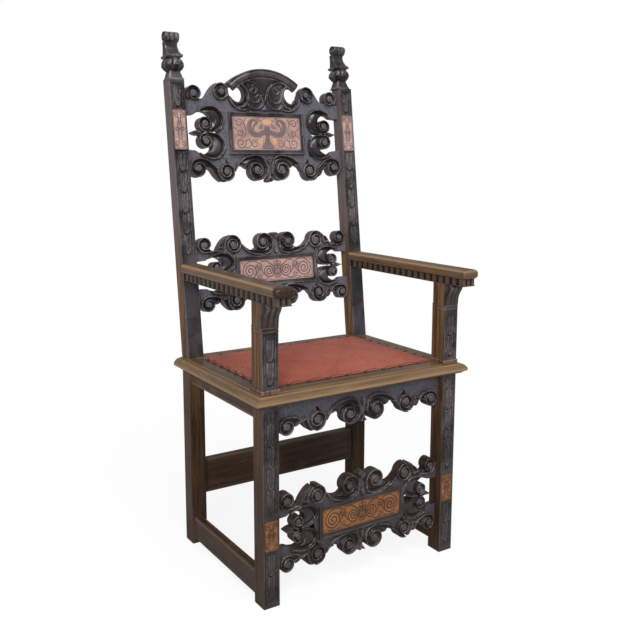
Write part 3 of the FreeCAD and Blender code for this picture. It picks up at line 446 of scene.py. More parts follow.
@dataclass(frozen=True)
class CoverFinish:
    """Woven wool cover: rib weave, slubs and sun-worn patches."""

    name: str
    thread: Colour
    worn: Colour
    gap: Colour
    hem_shade: Colour = (0.035, 0.010, 0.008)
    pitch: float = 2.2
    tack_pitches: tuple[float, float] = (52.3, 37.1)
    hem_inset: float = 6.0
    hem_rise: float = 5.0

    def hem(self, recipe: Recipe, along: bpy.types.NodeSocket, inside: bpy.types.NodeSocket,
            start: float, pitch: float) -> bpy.types.NodeSocket:
        """Line of the turned hem, which dips at every tack.

        Args:
            recipe: the material under way.
            along: place along the edge, metres.
            inside: distance from the edge, metres.
            start: place of a tack along the edge, metres.
            pitch: distance between tacks, mm.

        Returns:
            The line's mask.
        """
        turn = recipe.math("MULTIPLY", recipe.math("SUBTRACT", along, start),
                           math.pi / (pitch * MM))
        wave = recipe.math("ABSOLUTE", recipe.math("SINE", turn))
        target = recipe.math("ADD", recipe.math("MULTIPLY", wave, self.hem_rise * MM),
                             self.hem_inset * MM)
        gap = recipe.math("ABSOLUTE", recipe.math("SUBTRACT", inside, target))
        return recipe.span(gap, 0.7 * MM, 2.2 * MM, 0.85, 0.0)

    def make(self) -> bpy.types.Material:
        """Builds the material.

        Returns:
            The material.
        """
        recipe = Recipe(self.name)
        low, high = (spot * MM for spot in ends("seat_cover"))
        split, crossed = recipe.threads(self.pitch)
        weave = recipe.span(crossed, -0.8, 0.8)
        slub = recipe.noise(300.0, (1, 0.25, 1), 3.0, 0.6)
        cloud = recipe.noise(7.0, (1, 1, 1), 5.0, 0.6, 0.5)
        colour = recipe.mix(recipe.span(cloud, 0.35, 0.7), self.thread, self.worn)
        colour = recipe.mix(recipe.span(slub, 0.45, 0.7, 0.0, 0.45), colour, self.gap)
        colour = recipe.mix(recipe.math("MULTIPLY", recipe.math("SUBTRACT", 1.0, weave), 0.4),
                            colour, self.gap)
        across, deep = split.outputs[0], split.outputs[1]
        edge_x = recipe.math("SUBTRACT", high.x, recipe.math("ABSOLUTE", across))
        edge_y = recipe.math("MINIMUM", recipe.math("SUBTRACT", deep, low.y),
                             recipe.math("SUBTRACT", high.y, deep))
        tack = TACK_EDGE * MM
        front = self.hem(recipe, across, edge_y, high.x - tack, self.tack_pitches[0])
        flank = self.hem(recipe, deep, edge_x, low.y + tack, self.tack_pitches[1])
        line = recipe.math("MAXIMUM", front, flank)
        colour = recipe.mix(line, colour, self.hem_shade)
        recipe.bump(recipe.math("SUBTRACT", 1.0, line), 0.5, 1.0)
        recipe.bump(weave, 0.5, 0.7)
        recipe.bump(slub, 0.3, 0.5)
        recipe.shader.inputs["Sheen Weight"].default_value = 0.08
        recipe.shader.inputs["Sheen Roughness"].default_value = 0.5
        return recipe.finish(colour, 0.9, 0.2)


@dataclass(frozen=True)
class PlainWeaveFinish:
    """Jute or hessian with crossed threads."""

    name: str
    thread: Colour
    gap: Colour
    pitch: float

    def make(self) -> bpy.types.Material:
        """Builds the material.

        Returns:
            The material.
        """
        recipe = Recipe(self.name)
        weave = recipe.span(recipe.threads(self.pitch)[1], -0.7, 0.7)
        fleck = recipe.noise(220.0, (1, 1, 1), 3.0, 0.6)
        colour = recipe.mix(weave, self.gap, self.thread)
        colour = recipe.mix(recipe.span(fleck, 0.55, 0.75, 0.0, 0.4), colour, self.gap)
        recipe.bump(weave, 0.4, 0.8)
        return recipe.finish(colour, 0.92, 0.2)


@dataclass(frozen=True)
class IronFinish:
    """Dark iron tack heads, rubbed on the crown."""

    name: str
    metal: Colour
    rust: Colour

    def make(self) -> bpy.types.Material:
        """Builds the material.

        Returns:
            The material.
        """
        recipe = Recipe(self.name)
        spot = recipe.noise(260.0, (1, 1, 1), 4.0, 0.6)
        colour = recipe.mix(recipe.span(spot, 0.45, 0.65), self.metal, self.rust)
        recipe.bump(spot, 0.2, 0.5)
        recipe.shader.inputs["Metallic"].default_value = 0.8
        return recipe.finish(colour, recipe.span(spot, 0.35, 0.65, 0.32, 0.6))


# Rim colour: wear and a painted highlight; ground: bluish grey, partly painted sheen; hollow: near
# black, painted shade where the cove mark puts it.
CARVED = CarvedFinish("ebonised_carving", (0.014, 0.011, 0.013), (0.066, 0.058, 0.068),
                      (0.34, 0.275, 0.255), (0.125, 0.120, 0.148), (0.004, 0.003, 0.003))
DARK_OAK = {grain: OakFinish("dark_oak", (0.024, 0.015, 0.011), (0.070, 0.046, 0.034),
                             (0.17, 0.115, 0.075), grain) for grain in Grain}
BROWN_OAK = {grain: OakFinish("brown_oak", (0.040, 0.020, 0.011), (0.110, 0.062, 0.035),
                              (0.22, 0.135, 0.08), grain, 0.5, stain=0.3) for grain in Grain}
GOLDEN_OAK = {grain: OakFinish("golden_oak", (0.040, 0.021, 0.011), (0.150, 0.087, 0.045),
                               (0.37, 0.23, 0.125), grain, 0.55, 0.32) for grain in Grain}
TAN = InlayFinish("tan_inlay", (0.56, 0.355, 0.295), (0.40, 0.245, 0.215), (0.085, 0.062, 0.068),
                  (0.66, 0.36, 0.19), (0.17, 0.135, 0.14))
ORANGE = InlayFinish("orange_inlay", (0.30, 0.125, 0.045), (0.19, 0.075, 0.028),
                     (0.028, 0.014, 0.010), (0.36, 0.16, 0.05), (0.095, 0.042, 0.022))
COVER = CoverFinish("red_cover", (0.34, 0.070, 0.040), (0.46, 0.125, 0.075), (0.11, 0.022, 0.015))
JUTE = PlainWeaveFinish("jute_webbing", (0.32, 0.22, 0.12), (0.12, 0.075, 0.04), 2.6)
HESSIAN = PlainWeaveFinish("hessian", (0.26, 0.19, 0.12), (0.10, 0.07, 0.045), 1.8)
IRON = IronFinish("dark_iron", (0.10, 0.095, 0.095), (0.045, 0.03, 0.025))


class Palette:
    """Makes each finish once and hands it out."""

    made: dict[str, bpy.types.Material] = {}

    @classmethod
    def get(cls, finish: object) -> bpy.types.Material:
        """Material of a finish.

        Args:
            finish: one of the finish classes.

        Returns:
            The material, made on first use.
        """
        key = repr(finish)
        if key not in cls.made:
            cls.made[key] = finish.make()
        return cls.made[key]


# Mesh helpers


@dataclass
class Shell:
    """Closed skin of one solid in mm, with marks that its finish reads."""

    points: np.ndarray
    faces: np.ndarray
    marks: dict[str, np.ndarray] = field(default_factory=dict)

    def moved(self, x: float = 0.0, y: float = 0.0, z: float = 0.0) -> "Shell":
        """The shell at another place."""
        return Shell(self.points + np.array([x, y, z]), self.faces, self.marks)

    def mirrored(self) -> "Shell":
        """The shell on the chair's other side."""
        return Shell(self.points * np.array([-1, 1, 1]), self.faces[:, ::-1], self.marks)

    def on(self, side: Side) -> "Shell":
        """The shell, drawn for the right, on the side that is asked for."""
        return self if side is Side.RIGHT else self.mirrored()


def join(*shells: Shell) -> Shell:
    """Joins shells into one skin of several closed parts.

    Args:
        shells: the parts.

    Returns:
        One shell; a mark that a part lacks is 0 on it.
    """
    keys = {key for shell in shells for key in shell.marks}
    starts = np.cumsum([0] + [len(shell.points) for shell in shells])
    marks = {key: np.concatenate([shell.marks.get(key, np.zeros(len(shell.points)))
                                  for shell in shells]) for key in keys}
    return Shell(np.vstack([shell.points for shell in shells]),
                 np.vstack([shell.faces + start for shell, start in zip(shells, starts)]), marks)


def loft(rings: object, marks: dict[str, object] | None = None) -> Shell:
    """Skins closed rings of equal length one after another and caps both ends.

    Args:
        rings: k rings of n points each, mm.
        marks: for each mark, k by n values.

    Returns:
        The closed shell, turned outward.
    """
    table = np.array(rings, dtype=float)
    values = {key: np.array(value, dtype=float) for key, value in (marks or {}).items()}
    axis = table[-1].mean(0) - table[0].mean(0)
    following = np.roll(table, -1, axis=1)
    turn = np.cross(table, following).sum(axis=1)[len(table) // 2]
    if turn @ axis < 0:
        table = table[:, ::-1]
        values = {key: value[:, ::-1] for key, value in values.items()}
    count, size = table.shape[:2]
    grid = np.arange(count * size).reshape(count, size)
    after = np.roll(grid, -1, axis=1)
    a, b, c, d = (part.ravel() for part in (grid[:-1], after[:-1], after[1:], grid[1:]))
    faces = [np.stack([a, b, c], axis=1), np.stack([a, c, d], axis=1)]
    for ring, outward in ((0, -axis), (count - 1, axis)):
        corners = geometry.tessellate_polygon([[Vector(point) for point in table[ring]]])
        cap = grid[ring][np.array(corners)]
        spots = table.reshape(-1, 3)[cap]
        facing = np.cross(spots[:, 1] - spots[:, 0], spots[:, 2] - spots[:, 0]).sum(axis=0)
        faces.append(cap if facing @ outward > 0 else cap[:, ::-1])
    return Shell(table.reshape(-1, 3), np.vstack(faces),
                 {key: value.ravel() for key, value in values.items()})


def worn_ring(corners: Pairs, soft: float) -> tuple[np.ndarray, np.ndarray]:
    """Closed section whose corners are rubbed round.

    Args:
        corners: the section's corners in order.
        soft: how far the rounding reaches from a corner.

    Returns:
        The points, and how worn each is.
    """
    given = np.array(corners, dtype=float)
    points, wear = [], []
    for before, here, after in zip(np.roll(given, 1, axis=0), given, np.roll(given, -1, axis=0)):
        back, ahead = before - here, after - here
        reach_back, reach_ahead = np.linalg.norm(back), np.linalg.norm(ahead)
        back, ahead = back / reach_back, ahead / reach_ahead
        for direction, length, share, value in (
                (back, reach_back, 4.5, 0.0), (back, reach_back, 1.0, 0.75),
                (back + ahead, FAR, 0.3, 1.0), (ahead, reach_ahead, 1.0, 0.75),
                (ahead, reach_ahead, 4.5, 0.0)):
            points.append(here + direction * min(share * soft, 0.45 * length))
            wear.append(value)
    return np.array(points), np.array(wear)


class Along(Enum):
    """Axis that a bar runs along, as the order that its coordinates are put in."""

    X = (0, 1, 2)
    Y = (1, 0, 2)
    Z = (1, 2, 0)

    def place(self, at: float, section: np.ndarray) -> np.ndarray:
        """Points of a section that stands at a place along the axis.

        Args:
            at: place along the axis.
            section: n by 2 points on the other two axes, in the order X, Y, Z.

        Returns:
            n by 3 points.
        """
        rows = np.column_stack([np.full(len(section), at), section])
        return rows[:, list(self.value)]


def worn_bar(along: Along, start: float, end: float, corners: Pairs, soft: float = 1.2) -> Shell:
    """Straight bar with rubbed edges.

    Args:
        along: axis that it runs along.
        start: its first end.
        end: its last end.
        corners: corners of its section.
        soft: how far the rounding of the edges reaches.

    Returns:
        The shell, with the mark "wear".
    """
    section, wear = worn_ring(corners, soft)
    middle = np.array(corners).mean(axis=0)
    small = section - np.sign(section - middle) * soft * 0.5
    rest = min(5 * soft, 0.45 * (end - start))
    lip = min(0.6 * soft, 0.2 * (end - start))
    stops = ((start, small, 1.0), (start + lip, section, 0.9), (start + rest, section, 0.0),
             (end - rest, section, 0.0), (end - lip, section, 0.9), (end, small, 1.0))
    return loft([along.place(at, ring) for at, ring, _ in stops],
                {"wear": [np.maximum(wear, rub) for _, _, rub in stops]})


def box_corners(a0: float, a1: float, b0: float, b1: float) -> Pairs:
    """Corners of a rectangle, given its ends on two axes."""
    return ((a0, b0), (a1, b0), (a1, b1), (a0, b1))


def add_object(name: str, data: bpy.types.ID) -> bpy.types.Object:
    """Puts an object with its data into the scene.

    Args:
        name: name of the object.
        data: its mesh, camera or lamp.

    Returns:
        The object.
    """
    made = bpy.data.objects.new(name, data)
    bpy.context.scene.collection.objects.link(made)
    return made


def modified(piece: bpy.types.Object) -> bpy.types.Mesh:
    """Mesh of an object as its modifiers leave it."""
    graph = bpy.context.evaluated_depsgraph_get()
    return bpy.data.meshes.new_from_object(piece.evaluated_get(graph))


def mesh_points(mesh: bpy.types.Mesh) -> np.ndarray:
    """Points of a mesh in mm.

    Args:
        mesh: the mesh.

    Returns:
        n by 3 points.
    """
    values = np.empty(3 * len(mesh.vertices))
    mesh.vertices.foreach_get("co", values)
    return values.reshape(-1, 3) / MM


def shell_piece(name: str, shell: Shell, finish: object,
                crease: float = 38.0) -> bpy.types.Object:
    """Makes a piece from a shell.

    Args:
        name: name of the piece.
        shell: its skin, mm.
        finish: finish of the piece.
        crease: angle above which an edge stays sharp, degrees.

    Returns:
        The object.
    """
    points, faces, marks = shell.points, shell.faces, shell.marks
    mesh = bpy.data.meshes.new(name)
    count = len(faces)
    mesh.vertices.add(len(points))
    mesh.vertices.foreach_set("co", (np.asarray(points) * MM).astype(np.float32).ravel())
    mesh.loops.add(3 * count)
    mesh.loops.foreach_set("vertex_index", np.asarray(faces, dtype=np.int32).ravel())
    mesh.polygons.add(count)
    mesh.polygons.foreach_set("loop_start", np.arange(0, 3 * count, 3, dtype=np.int32))
    for key, values in marks.items():
        layer = mesh.attributes.new(key, "FLOAT", "POINT")
        layer.data.foreach_set("value", np.asarray(values, dtype=np.float32))
    mesh.update(calc_edges=True)
    mesh.validate()
    mesh.shade_smooth()
    mesh.set_sharp_from_angle(angle=math.radians(crease))
    mesh.materials.append(Palette.get(finish))
    return add_object(name, mesh)


def settle(piece: bpy.types.Object, slot: str, *nodes: str) -> bpy.types.Object:
    """Ties a finished piece to the frame.

    Args:
        piece: the piece.
        slot: not used.
        nodes: CAD nodes that it stands for.

    Returns:
        The piece.
    """
    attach(piece, BODY)
    if nodes:
        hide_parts(*nodes)
    log.info("%s: %d faces", piece.name, len(piece.data.polygons))
    return piece


def stand_in(prefix: str, node: str, shell: Shell, finish: object, slot: str,
             crease: float = 38.0) -> bpy.types.Object:
    """Makes and settles the piece that stands for one CAD node.

    Args:
        prefix: how it is made, which its name starts with.
        node: the CAD node.
        shell: its skin, mm.
        finish: finish of the piece.
        slot: name of a material slot, handed on to settle.
        crease: angle above which an edge stays sharp, degrees.

    Returns:
        The piece.
    """
    return settle(shell_piece(f"{prefix}_{node}", shell, finish, crease), slot, node)


def ebonised(prefix: str, node: str, shell: Shell) -> bpy.types.Object:
    """Makes and settles a piece of dark carved oak, as stand_in does."""
    return stand_in(prefix, node, shell, CARVED, "dark_carved_oak")


def smooth_line(points: list[tuple[float, float]], steps: int = 6,
                closed: bool = False) -> np.ndarray:
    """Smooth line through points, as a Catmull-Rom curve.

    Args:
        points: the points that it passes.
        steps: pieces between two points.
        closed: True if the last point joins the first.

    Returns:
        The line's points.
    """
    given = np.array(points, dtype=float)
    if closed:
        run = np.vstack([given[-1:], given, given[:2]])
    else:
        run = np.vstack([2 * given[0] - given[1], given, 2 * given[-1] - given[-2]])
    line = []
    for index in range(1, len(run) - 2):
        before, start, end, after = run[index - 1:index + 3]
        for step in range(steps):
            t = step / steps
            line.append(0.5 * (2 * start + (end - before) * t
                               + (2 * before - 5 * start + 4 * end - after) * t * t
                               + (3 * start - before - 3 * end + after) * t ** 3))
    if not closed:
        line.append(given[-1])
    return np.array(line)


def full_turn(count: int) -> np.ndarray:
    """Angles of equal steps round a full turn."""
    return np.arange(count) / count * 2 * math.pi


def ramp(value: np.ndarray, low: float, high: float) -> np.ndarray:
    """Smooth step from 0 at low to 1 at high."""
    share = np.clip((value - low) / (high - low), 0, 1)
    return share * share * (3 - 2 * share)


@dataclass(frozen=True)
class Face:
    """The plane that a carved board's rims lie on."""

    y: float
    foot: float
    rake: float = 0.0

    def place(self, x: np.ndarray, depth: np.ndarray, up: np.ndarray) -> np.ndarray:
        """Points of the chair from points of the board.

        Args:
            x: across.
            depth: behind the face.
            up: along the face from its foot.

        Returns:
            n by 3 points, mm.
        """
        lean = math.radians(self.rake)
        y = self.y + up * math.sin(lean) + depth * math.cos(lean)
        z = self.foot + up * math.cos(lean) - depth * math.sin(lean)
        return np.column_stack([x, y, z])


# The chair's own planes, read from the frame

BEND_RISE = 2.0
RAKE = 6.9
RAKE_SLOPE = math.tan(math.radians(RAKE))
POST_HEAD = 687.0
SEAT_TOP = corner("seat_frame_front", True).z
BACK_FACE = Face(corner("rear_post_left").y, SEAT_TOP + BEND_RISE, RAKE)
LEG_FACE = Face(corner("front_leg_left").y, 0.0)
HALF_CHAIR = corner("front_leg_right", True).x
INNER_FACE = corner("front_leg_right").x
LEG_WIDTH = HALF_CHAIR - INNER_FACE
LEG_CENTRE = (HALF_CHAIR + INNER_FACE) / 2


def post_front(height: float) -> float:
    """Y of the raked posts' front at a height above the floor."""
    return BACK_FACE.y + (height - BACK_FACE.foot) * RAKE_SLOPE


@dataclass(frozen=True)
class Chisel:
    """How deep and how round the carver worked."""

    rim: float = 2.6
    rim_round: float = 0.8
    cove: float = 6.5
    cove_run: float = 3.4
    ground: float = 7.5
    wall: float = 1.3
    moat: float = 0.9
    edge: float = 0.7
    eye: float = 0.2
    moat_run: float = 2.5
    dome: float = 0.9
    dome_run: float = 6.0


# Carving: how far distances are worked out, the step at the edge, how bare the back is,
# how the layout's drift fades towards the ends, and how near the outline a face may lie

MARGIN = 14.0
EDGE_LIP = 0.9
BARE_WOOD = 0.7
DRIFT_POWER = 6
SLACK = 0.3


class Carving:
    """A carved board: fields over a grid on its right half, then one closed mesh.

    x runs from the board's middle, v up from its own zero and depth to the back.
    """

    def __init__(self, half: float, low: float, high: float, step: float) -> None:
        """Lays out the grid, one step wider than the board on every side.

        Args:
            half: half the board's width.
            low: foot of the board.
            high: head of the board.
            step: pitch of the grid.
        """
        self.half, self.low, self.high, self.step = half, low, high, step
        across = np.arange(0, half + 2 * step, step)
        up = np.arange(low - step, high + 2 * step, step)
        self.x, self.v = np.meshgrid(across, up)
        self.solid = np.full(self.x.shape, -FAR)
        self.rims = np.full(self.x.shape, FAR)
        self.scrolls = np.full(self.x.shape, -FAR)
        self.eyes = np.full(self.x.shape, -FAR)
        self.depth = np.zeros(self.x.shape)
        self.marks: dict[str, np.ndarray] = {}

    def distance(self, line: np.ndarray) -> np.ndarray:
        """Distance of every grid point from a line.

        Args:
            line: the line's points.

        Returns:
            The distances; beyond a margin round the line they are FAR.
        """
        low, high = line.min(0) - MARGIN, line.max(0) + MARGIN
        near = ((self.x > low[0]) & (self.x < high[0]) & (self.v > low[1]) & (self.v < high[1]))
        result = np.full(self.x.shape, FAR)
        if not near.any():
            return result
        px, pv = self.x[near], self.v[near]
        best = np.full(px.shape, FAR)
        for start, end in zip(line[:-1], line[1:]):
            run = end - start
            length = max(float(run @ run), TINY)
            share = np.clip(((px - start[0]) * run[0] + (pv - start[1]) * run[1]) / length, 0, 1)
            best = np.minimum(best, np.hypot(px - start[0] - share * run[0],
                                             pv - start[1] - share * run[1]))
        result[near] = best
        return result

    def disc(self, x: float, v: float, radius: float) -> np.ndarray:
        """Signed distance into a disc, positive inside."""
        return radius - np.hypot(self.x - x, self.v - v)

    def box(self, x0: float, x1: float, v0: float, v1: float) -> np.ndarray:
        """Signed distance into an upright box, positive inside."""
        return np.minimum(np.minimum(self.x - x0, x1 - self.x),
                          np.minimum(self.v - v0, v1 - self.v))

    def polygon(self, points: np.ndarray) -> np.ndarray:
        """Signed distance into a closed outline, positive inside.

        Args:
            points: the outline's corners in order.

        Returns:
            The signed distances, held at the margin's width.
        """
        ring = np.vstack([points, points[:1]])
        inside = np.zeros(self.x.shape, dtype=bool)
        for start, end in zip(ring[:-1], ring[1:]):
            crosses = (start[1] > self.v) != (end[1] > self.v)
            rise = end[1] - start[1] if end[1] != start[1] else TINY
            edge = start[0] + (self.v - start[1]) * (end[0] - start[0]) / rise
            inside ^= crosses & (self.x < edge)
        gap = np.minimum(self.distance(ring), MARGIN)
        return np.where(inside, gap, -gap)

    def add(self, *shapes: np.ndarray) -> None:
        """Adds shapes to the board's outline."""
        for shape in shapes:
            self.solid = np.maximum(self.solid, shape)

    def pierce(self, *shapes: np.ndarray) -> None:
        """Cuts shapes out of the board's outline."""
        for shape in shapes:
            self.solid = np.minimum(self.solid, -shape)

    def rim(self, *lines: np.ndarray) -> None:
        """Raises rims along lines."""
        for line in lines:
            self.rims = np.minimum(self.rims, self.distance(line))

    def hollow(self, *shapes: np.ndarray) -> None:
        """Marks shapes as scroll work, hollowed between its rims."""
        for shape in shapes:
            self.scrolls = np.maximum(self.scrolls, shape)

    def eye(self, x: float, v: float, radius: float) -> None:
        """Leaves a flat round eye standing in a scroll."""
        self.eyes = np.maximum(self.eyes, self.disc(x, v, radius))

    def cut(self, chisel: Chisel) -> None:
        """Works the depths and the marks out from rims, scrolls and eyes.

        Args:
            chisel: depths and roundings.
        """
        gap = np.minimum(self.rims, np.abs(self.eyes) + np.where(self.eyes > 0, 0, chisel.rim / 2))
        away = np.clip(gap - chisel.rim / 2, 0, None)
        crown = chisel.rim_round * np.clip(gap / (chisel.rim / 2), 0, 1) ** 2
        run = away / chisel.cove_run
        cove = chisel.cove * run * np.exp(1 - run)
        wall = ramp(away, 0, chisel.wall)
        ground = chisel.ground * wall + chisel.moat * np.exp(-away / chisel.moat_run) * wall
        scroll = ramp(self.scrolls, -1.0, 1.0)
        self.depth = crown + scroll * cove + (1 - scroll) * ground
        in_eye = ramp(self.eyes, -0.6, 0.6)
        dome = chisel.eye + chisel.dome * (1 - np.clip(self.eyes / chisel.dome_run, 0, 1)) ** 2
        self.depth = self.depth * (1 - in_eye) + in_eye * dome
        # Marks: rim is wear and a painted highlight, cove is painted shade in the hollows, ground
        # is the punched ground and the domed eyes, partly painted sheen.
        self.marks["rim"] = (1 - ramp(gap, chisel.rim * 0.4, chisel.rim * 0.95)) * (1 - in_eye)
        self.marks["cove"] = scroll * ramp(cove, 1.6, 5.2) * (1 - in_eye)
        self.marks["ground"] = np.maximum((1 - scroll) * ramp(away, 0.6, 2.2) * (1 - in_eye),
                                          0.8 * ramp(self.eyes, 0.2, 1.5))

    def round_edges(self, chisel: Chisel, setback: float) -> None:
        """Rounds the outer edge over and sets the board back behind its face.

        Args:
            chisel: the edge's rounding.
            setback: depth of the rims behind the face.
        """
        inside = np.clip(1 - self.solid / (2 * chisel.edge), 0, 1)
        self.depth = self.depth + chisel.edge * inside ** 2
        self.depth = self.depth + setback

    def shell(self, face: Face, base: float, back: float, lean: float = 0.0,
              taper: float = 0.0, flank: float = 0.0, drift: float = 0.0) -> Shell:
        """Makes the closed skin.

        Args:
            face: plane that the depths count from.
            base: height of the board's own zero along the face.
            back: depth of the board's back at its foot.
            lean: how far the back's foot is lifted above the front's.
            taper: how much less deep the back is at the top.
            flank: mark "side" of the edges and the back.
            drift: how far the carver's layout sits to the right of the middle.

        Returns:
            The shell.
        """
        solid = np.minimum(self.solid, self.box(-FAR, self.half, self.low, self.high))

        def whole(values: np.ndarray) -> np.ndarray:
            """Mirrors the right half's values to the whole width."""
            return np.concatenate([values[:, :0:-1], values], axis=1)

        xs = np.concatenate([-self.x[:, :0:-1], self.x], axis=1)
        vs, solid, depth = whole(self.v), whole(solid), whole(self.depth)
        marks = {key: whole(values) for key, values in self.marks.items()}
        marks["side"] = np.zeros(depth.shape)
        inside = solid > 0
        ids = np.full(xs.shape, -1)
        ids[inside] = np.arange(int(inside.sum()))
        layers = [xs, vs, depth] + list(marks.values())
        rows = [np.stack([layer[inside] for layer in layers], axis=1)]
        low_left, low_right = ids[:-1, :-1], ids[:-1, 1:]
        top_right, top_left = ids[1:, 1:], ids[1:, :-1]
        counts = sum((part >= 0).astype(int) for part in (low_left, low_right, top_right,
                                                          top_left))
        full = counts == 4
        faces = [np.stack([low_left[full], low_right[full], top_right[full]], axis=1),
                 np.stack([low_left[full], top_right[full], top_left[full]], axis=1)]
        extra: list[np.ndarray] = []
        crossings: dict[tuple, int] = {}
        first_extra = len(rows[0])

        def crossing(here: tuple[int, int], there: tuple[int, int]) -> int:
            """Finds the point where the outline crosses one edge of the grid.

            Args:
                here: row and column of one end.
                there: row and column of the other end.

            Returns:
                The point's number.
            """
            key = (min(here, there), max(here, there))
            if key not in crossings:
                share = solid[here] / (solid[here] - solid[there])
                crossings[key] = first_extra + len(extra)
                extra.append(np.array([layer[here] * (1 - share) + layer[there] * share
                                       for layer in layers]))
            return crossings[key]

        small, rim_edges = [], []
        for r, c in np.argwhere((counts > 0) & (counts < 4)):
            ring = []
            corners = [(r, c), (r, c + 1), (r + 1, c + 1), (r + 1, c)]
            for index, here in enumerate(corners):
                there = corners[(index + 1) % 4]
                if inside[here]:
                    ring.append((int(ids[here]), False))
                if inside[here] != inside[there]:
                    ring.append((crossing(here, there), True))
            for index in range(1, len(ring) - 1):
                small.append((ring[0][0], ring[index][0], ring[index + 1][0]))
            for (start, cut_start), (end, cut_end) in zip(ring, ring[1:] + ring[:1]):
                if cut_start and cut_end:
                    rim_edges.append((start, end))
        rows.append(np.array(extra))
        table = np.vstack(rows)
        faces.append(np.array(small))
        edges = np.array(rim_edges)
        edge_ids = np.unique(edges)
        order = np.full(len(table), -1)
        order[edge_ids] = np.arange(len(edge_ids))
        span = self.high - self.low
        rise = np.clip((table[edge_ids, 1] - self.low) / span, 0, 1)
        lip = table[edge_ids].copy()
        lip[:, 2] += EDGE_LIP
        lip[:, 3:-1] = 0
        lip[:, -1] = flank
        rear = lip.copy()
        rear[:, 2] = back - taper * rise
        rear[:, 1] += lean * (1 - rise)
        rear[:, -1] = np.maximum(flank, BARE_WOOD)
        first_lip, first_rear = len(table), len(table) + len(edge_ids)
        a, b = edges[:, 0], edges[:, 1]
        for near_a, near_b, far_a, far_b in (
                (a, b, first_lip + order[a], first_lip + order[b]),
                (first_lip + order[a], first_lip + order[b], first_rear + order[a],
                 first_rear + order[b])):
            faces.append(np.stack([near_a, far_a, far_b], axis=1))
            faces.append(np.stack([near_a, far_b, near_b], axis=1))
        flat = [Vector((float(x), float(v))) for x, v in lip[:, :2]]
        result = geometry.delaunay_2d_cdt(flat, [(int(order[p]), int(order[q]))
                                                 for p, q in edges], [], 0, CLOSE)
        spots, triangles, origin = result[0], result[2], result[3]
        rear_faces = []
        for triangle in triangles:
            middle = sum((spots[index] for index in triangle), Vector((0, 0))) / 3
            column = int(round((middle.x - xs[0, 0]) / self.step))
            row = int(round((middle.y - vs[0, 0]) / self.step))
            if solid[row, column] > -SLACK * self.step and all(origin[i] for i in triangle):
                rear_faces.append([first_rear + origin[i][0] for i in triangle][::-1])
        faces.append(np.array(rear_faces))
        table = np.vstack([table, lip, rear])
        across = table[:, 0] + drift * (1 - (table[:, 0] / self.half) ** DRIFT_POWER)
        points = face.place(across, table[:, 2], base + table[:, 1])
        keyed = {key: table[:, 3 + index] for index, key in enumerate(marks)}
        return Shell(points, np.vstack(faces), keyed)


@dataclass(frozen=True)
class Volute:
    """A scroll end whose rim winds in to a flat round eye."""

    x: float
    v: float
    start: float
    hand: int
    radii: Pairs
    eye: float
    scale: float = 1.0
    steps: int = 44

    def rim(self, flip: int = 1) -> np.ndarray:
        """Line of the rim.

        Args:
            flip: -1 turns the scroll upside down about its own middle.

        Returns:
            The line's points, from outside in.
        """
        turns, sizes = zip(*self.radii)
        share = np.linspace(0, turns[-1], int(self.steps * turns[-1]))
        radius = np.interp(share, turns, sizes) * self.scale
        angle = math.radians(self.start) + self.hand * 2 * math.pi * share
        return np.column_stack([self.x + radius * np.cos(angle),
                                self.v + flip * radius * np.sin(angle)])

    def outline(self, flip: int = 1, proud: float = 1.2) -> np.ndarray:
        """First full turn of the rim as a closed outline, a little proud of it.

        Args:
            flip: -1 turns the scroll upside down about its own middle.
            proud: how far the outline stands off the rim.

        Returns:
            The outline's points.
        """
        line = self.rim(flip)
        turns = self.radii[-1][0]
        ring = line[:max(4, int(len(line) / max(turns, 1.0)))]
        out = ring - np.array([self.x, self.v])
        length = np.linalg.norm(out, axis=1, keepdims=True)
        return np.array([self.x, self.v]) + out * (1 + proud / length)

    def carve(self, board: Carving, eye: float, flip: int = 1) -> None:
        """Carves the scroll.

        Args:
            board: the carving that takes it.
            eye: radius of its eye as it is cut.
            flip: -1 turns the scroll upside down about its own middle.
        """
        ring = board.polygon(self.outline(flip))
        board.add(ring)
        board.hollow(ring)
        board.rim(self.rim(flip))
        board.eye(self.x, self.v, eye)


def shifted(points: Pairs, x: float, v: float, flip: int, height: float = 1.0) -> list:
    """Points given round a scroll's middle, put at their place.

    Args:
        points: across and up from the middle, for a lower row.
        x: the middle, across.
        v: the middle, up.
        flip: 1 for a lower row, -1 for an upper one.
        height: scale on the ups.

    Returns:
        The placed points.
    """
    return [(x + across, v + flip * up * height) for across, up in points]


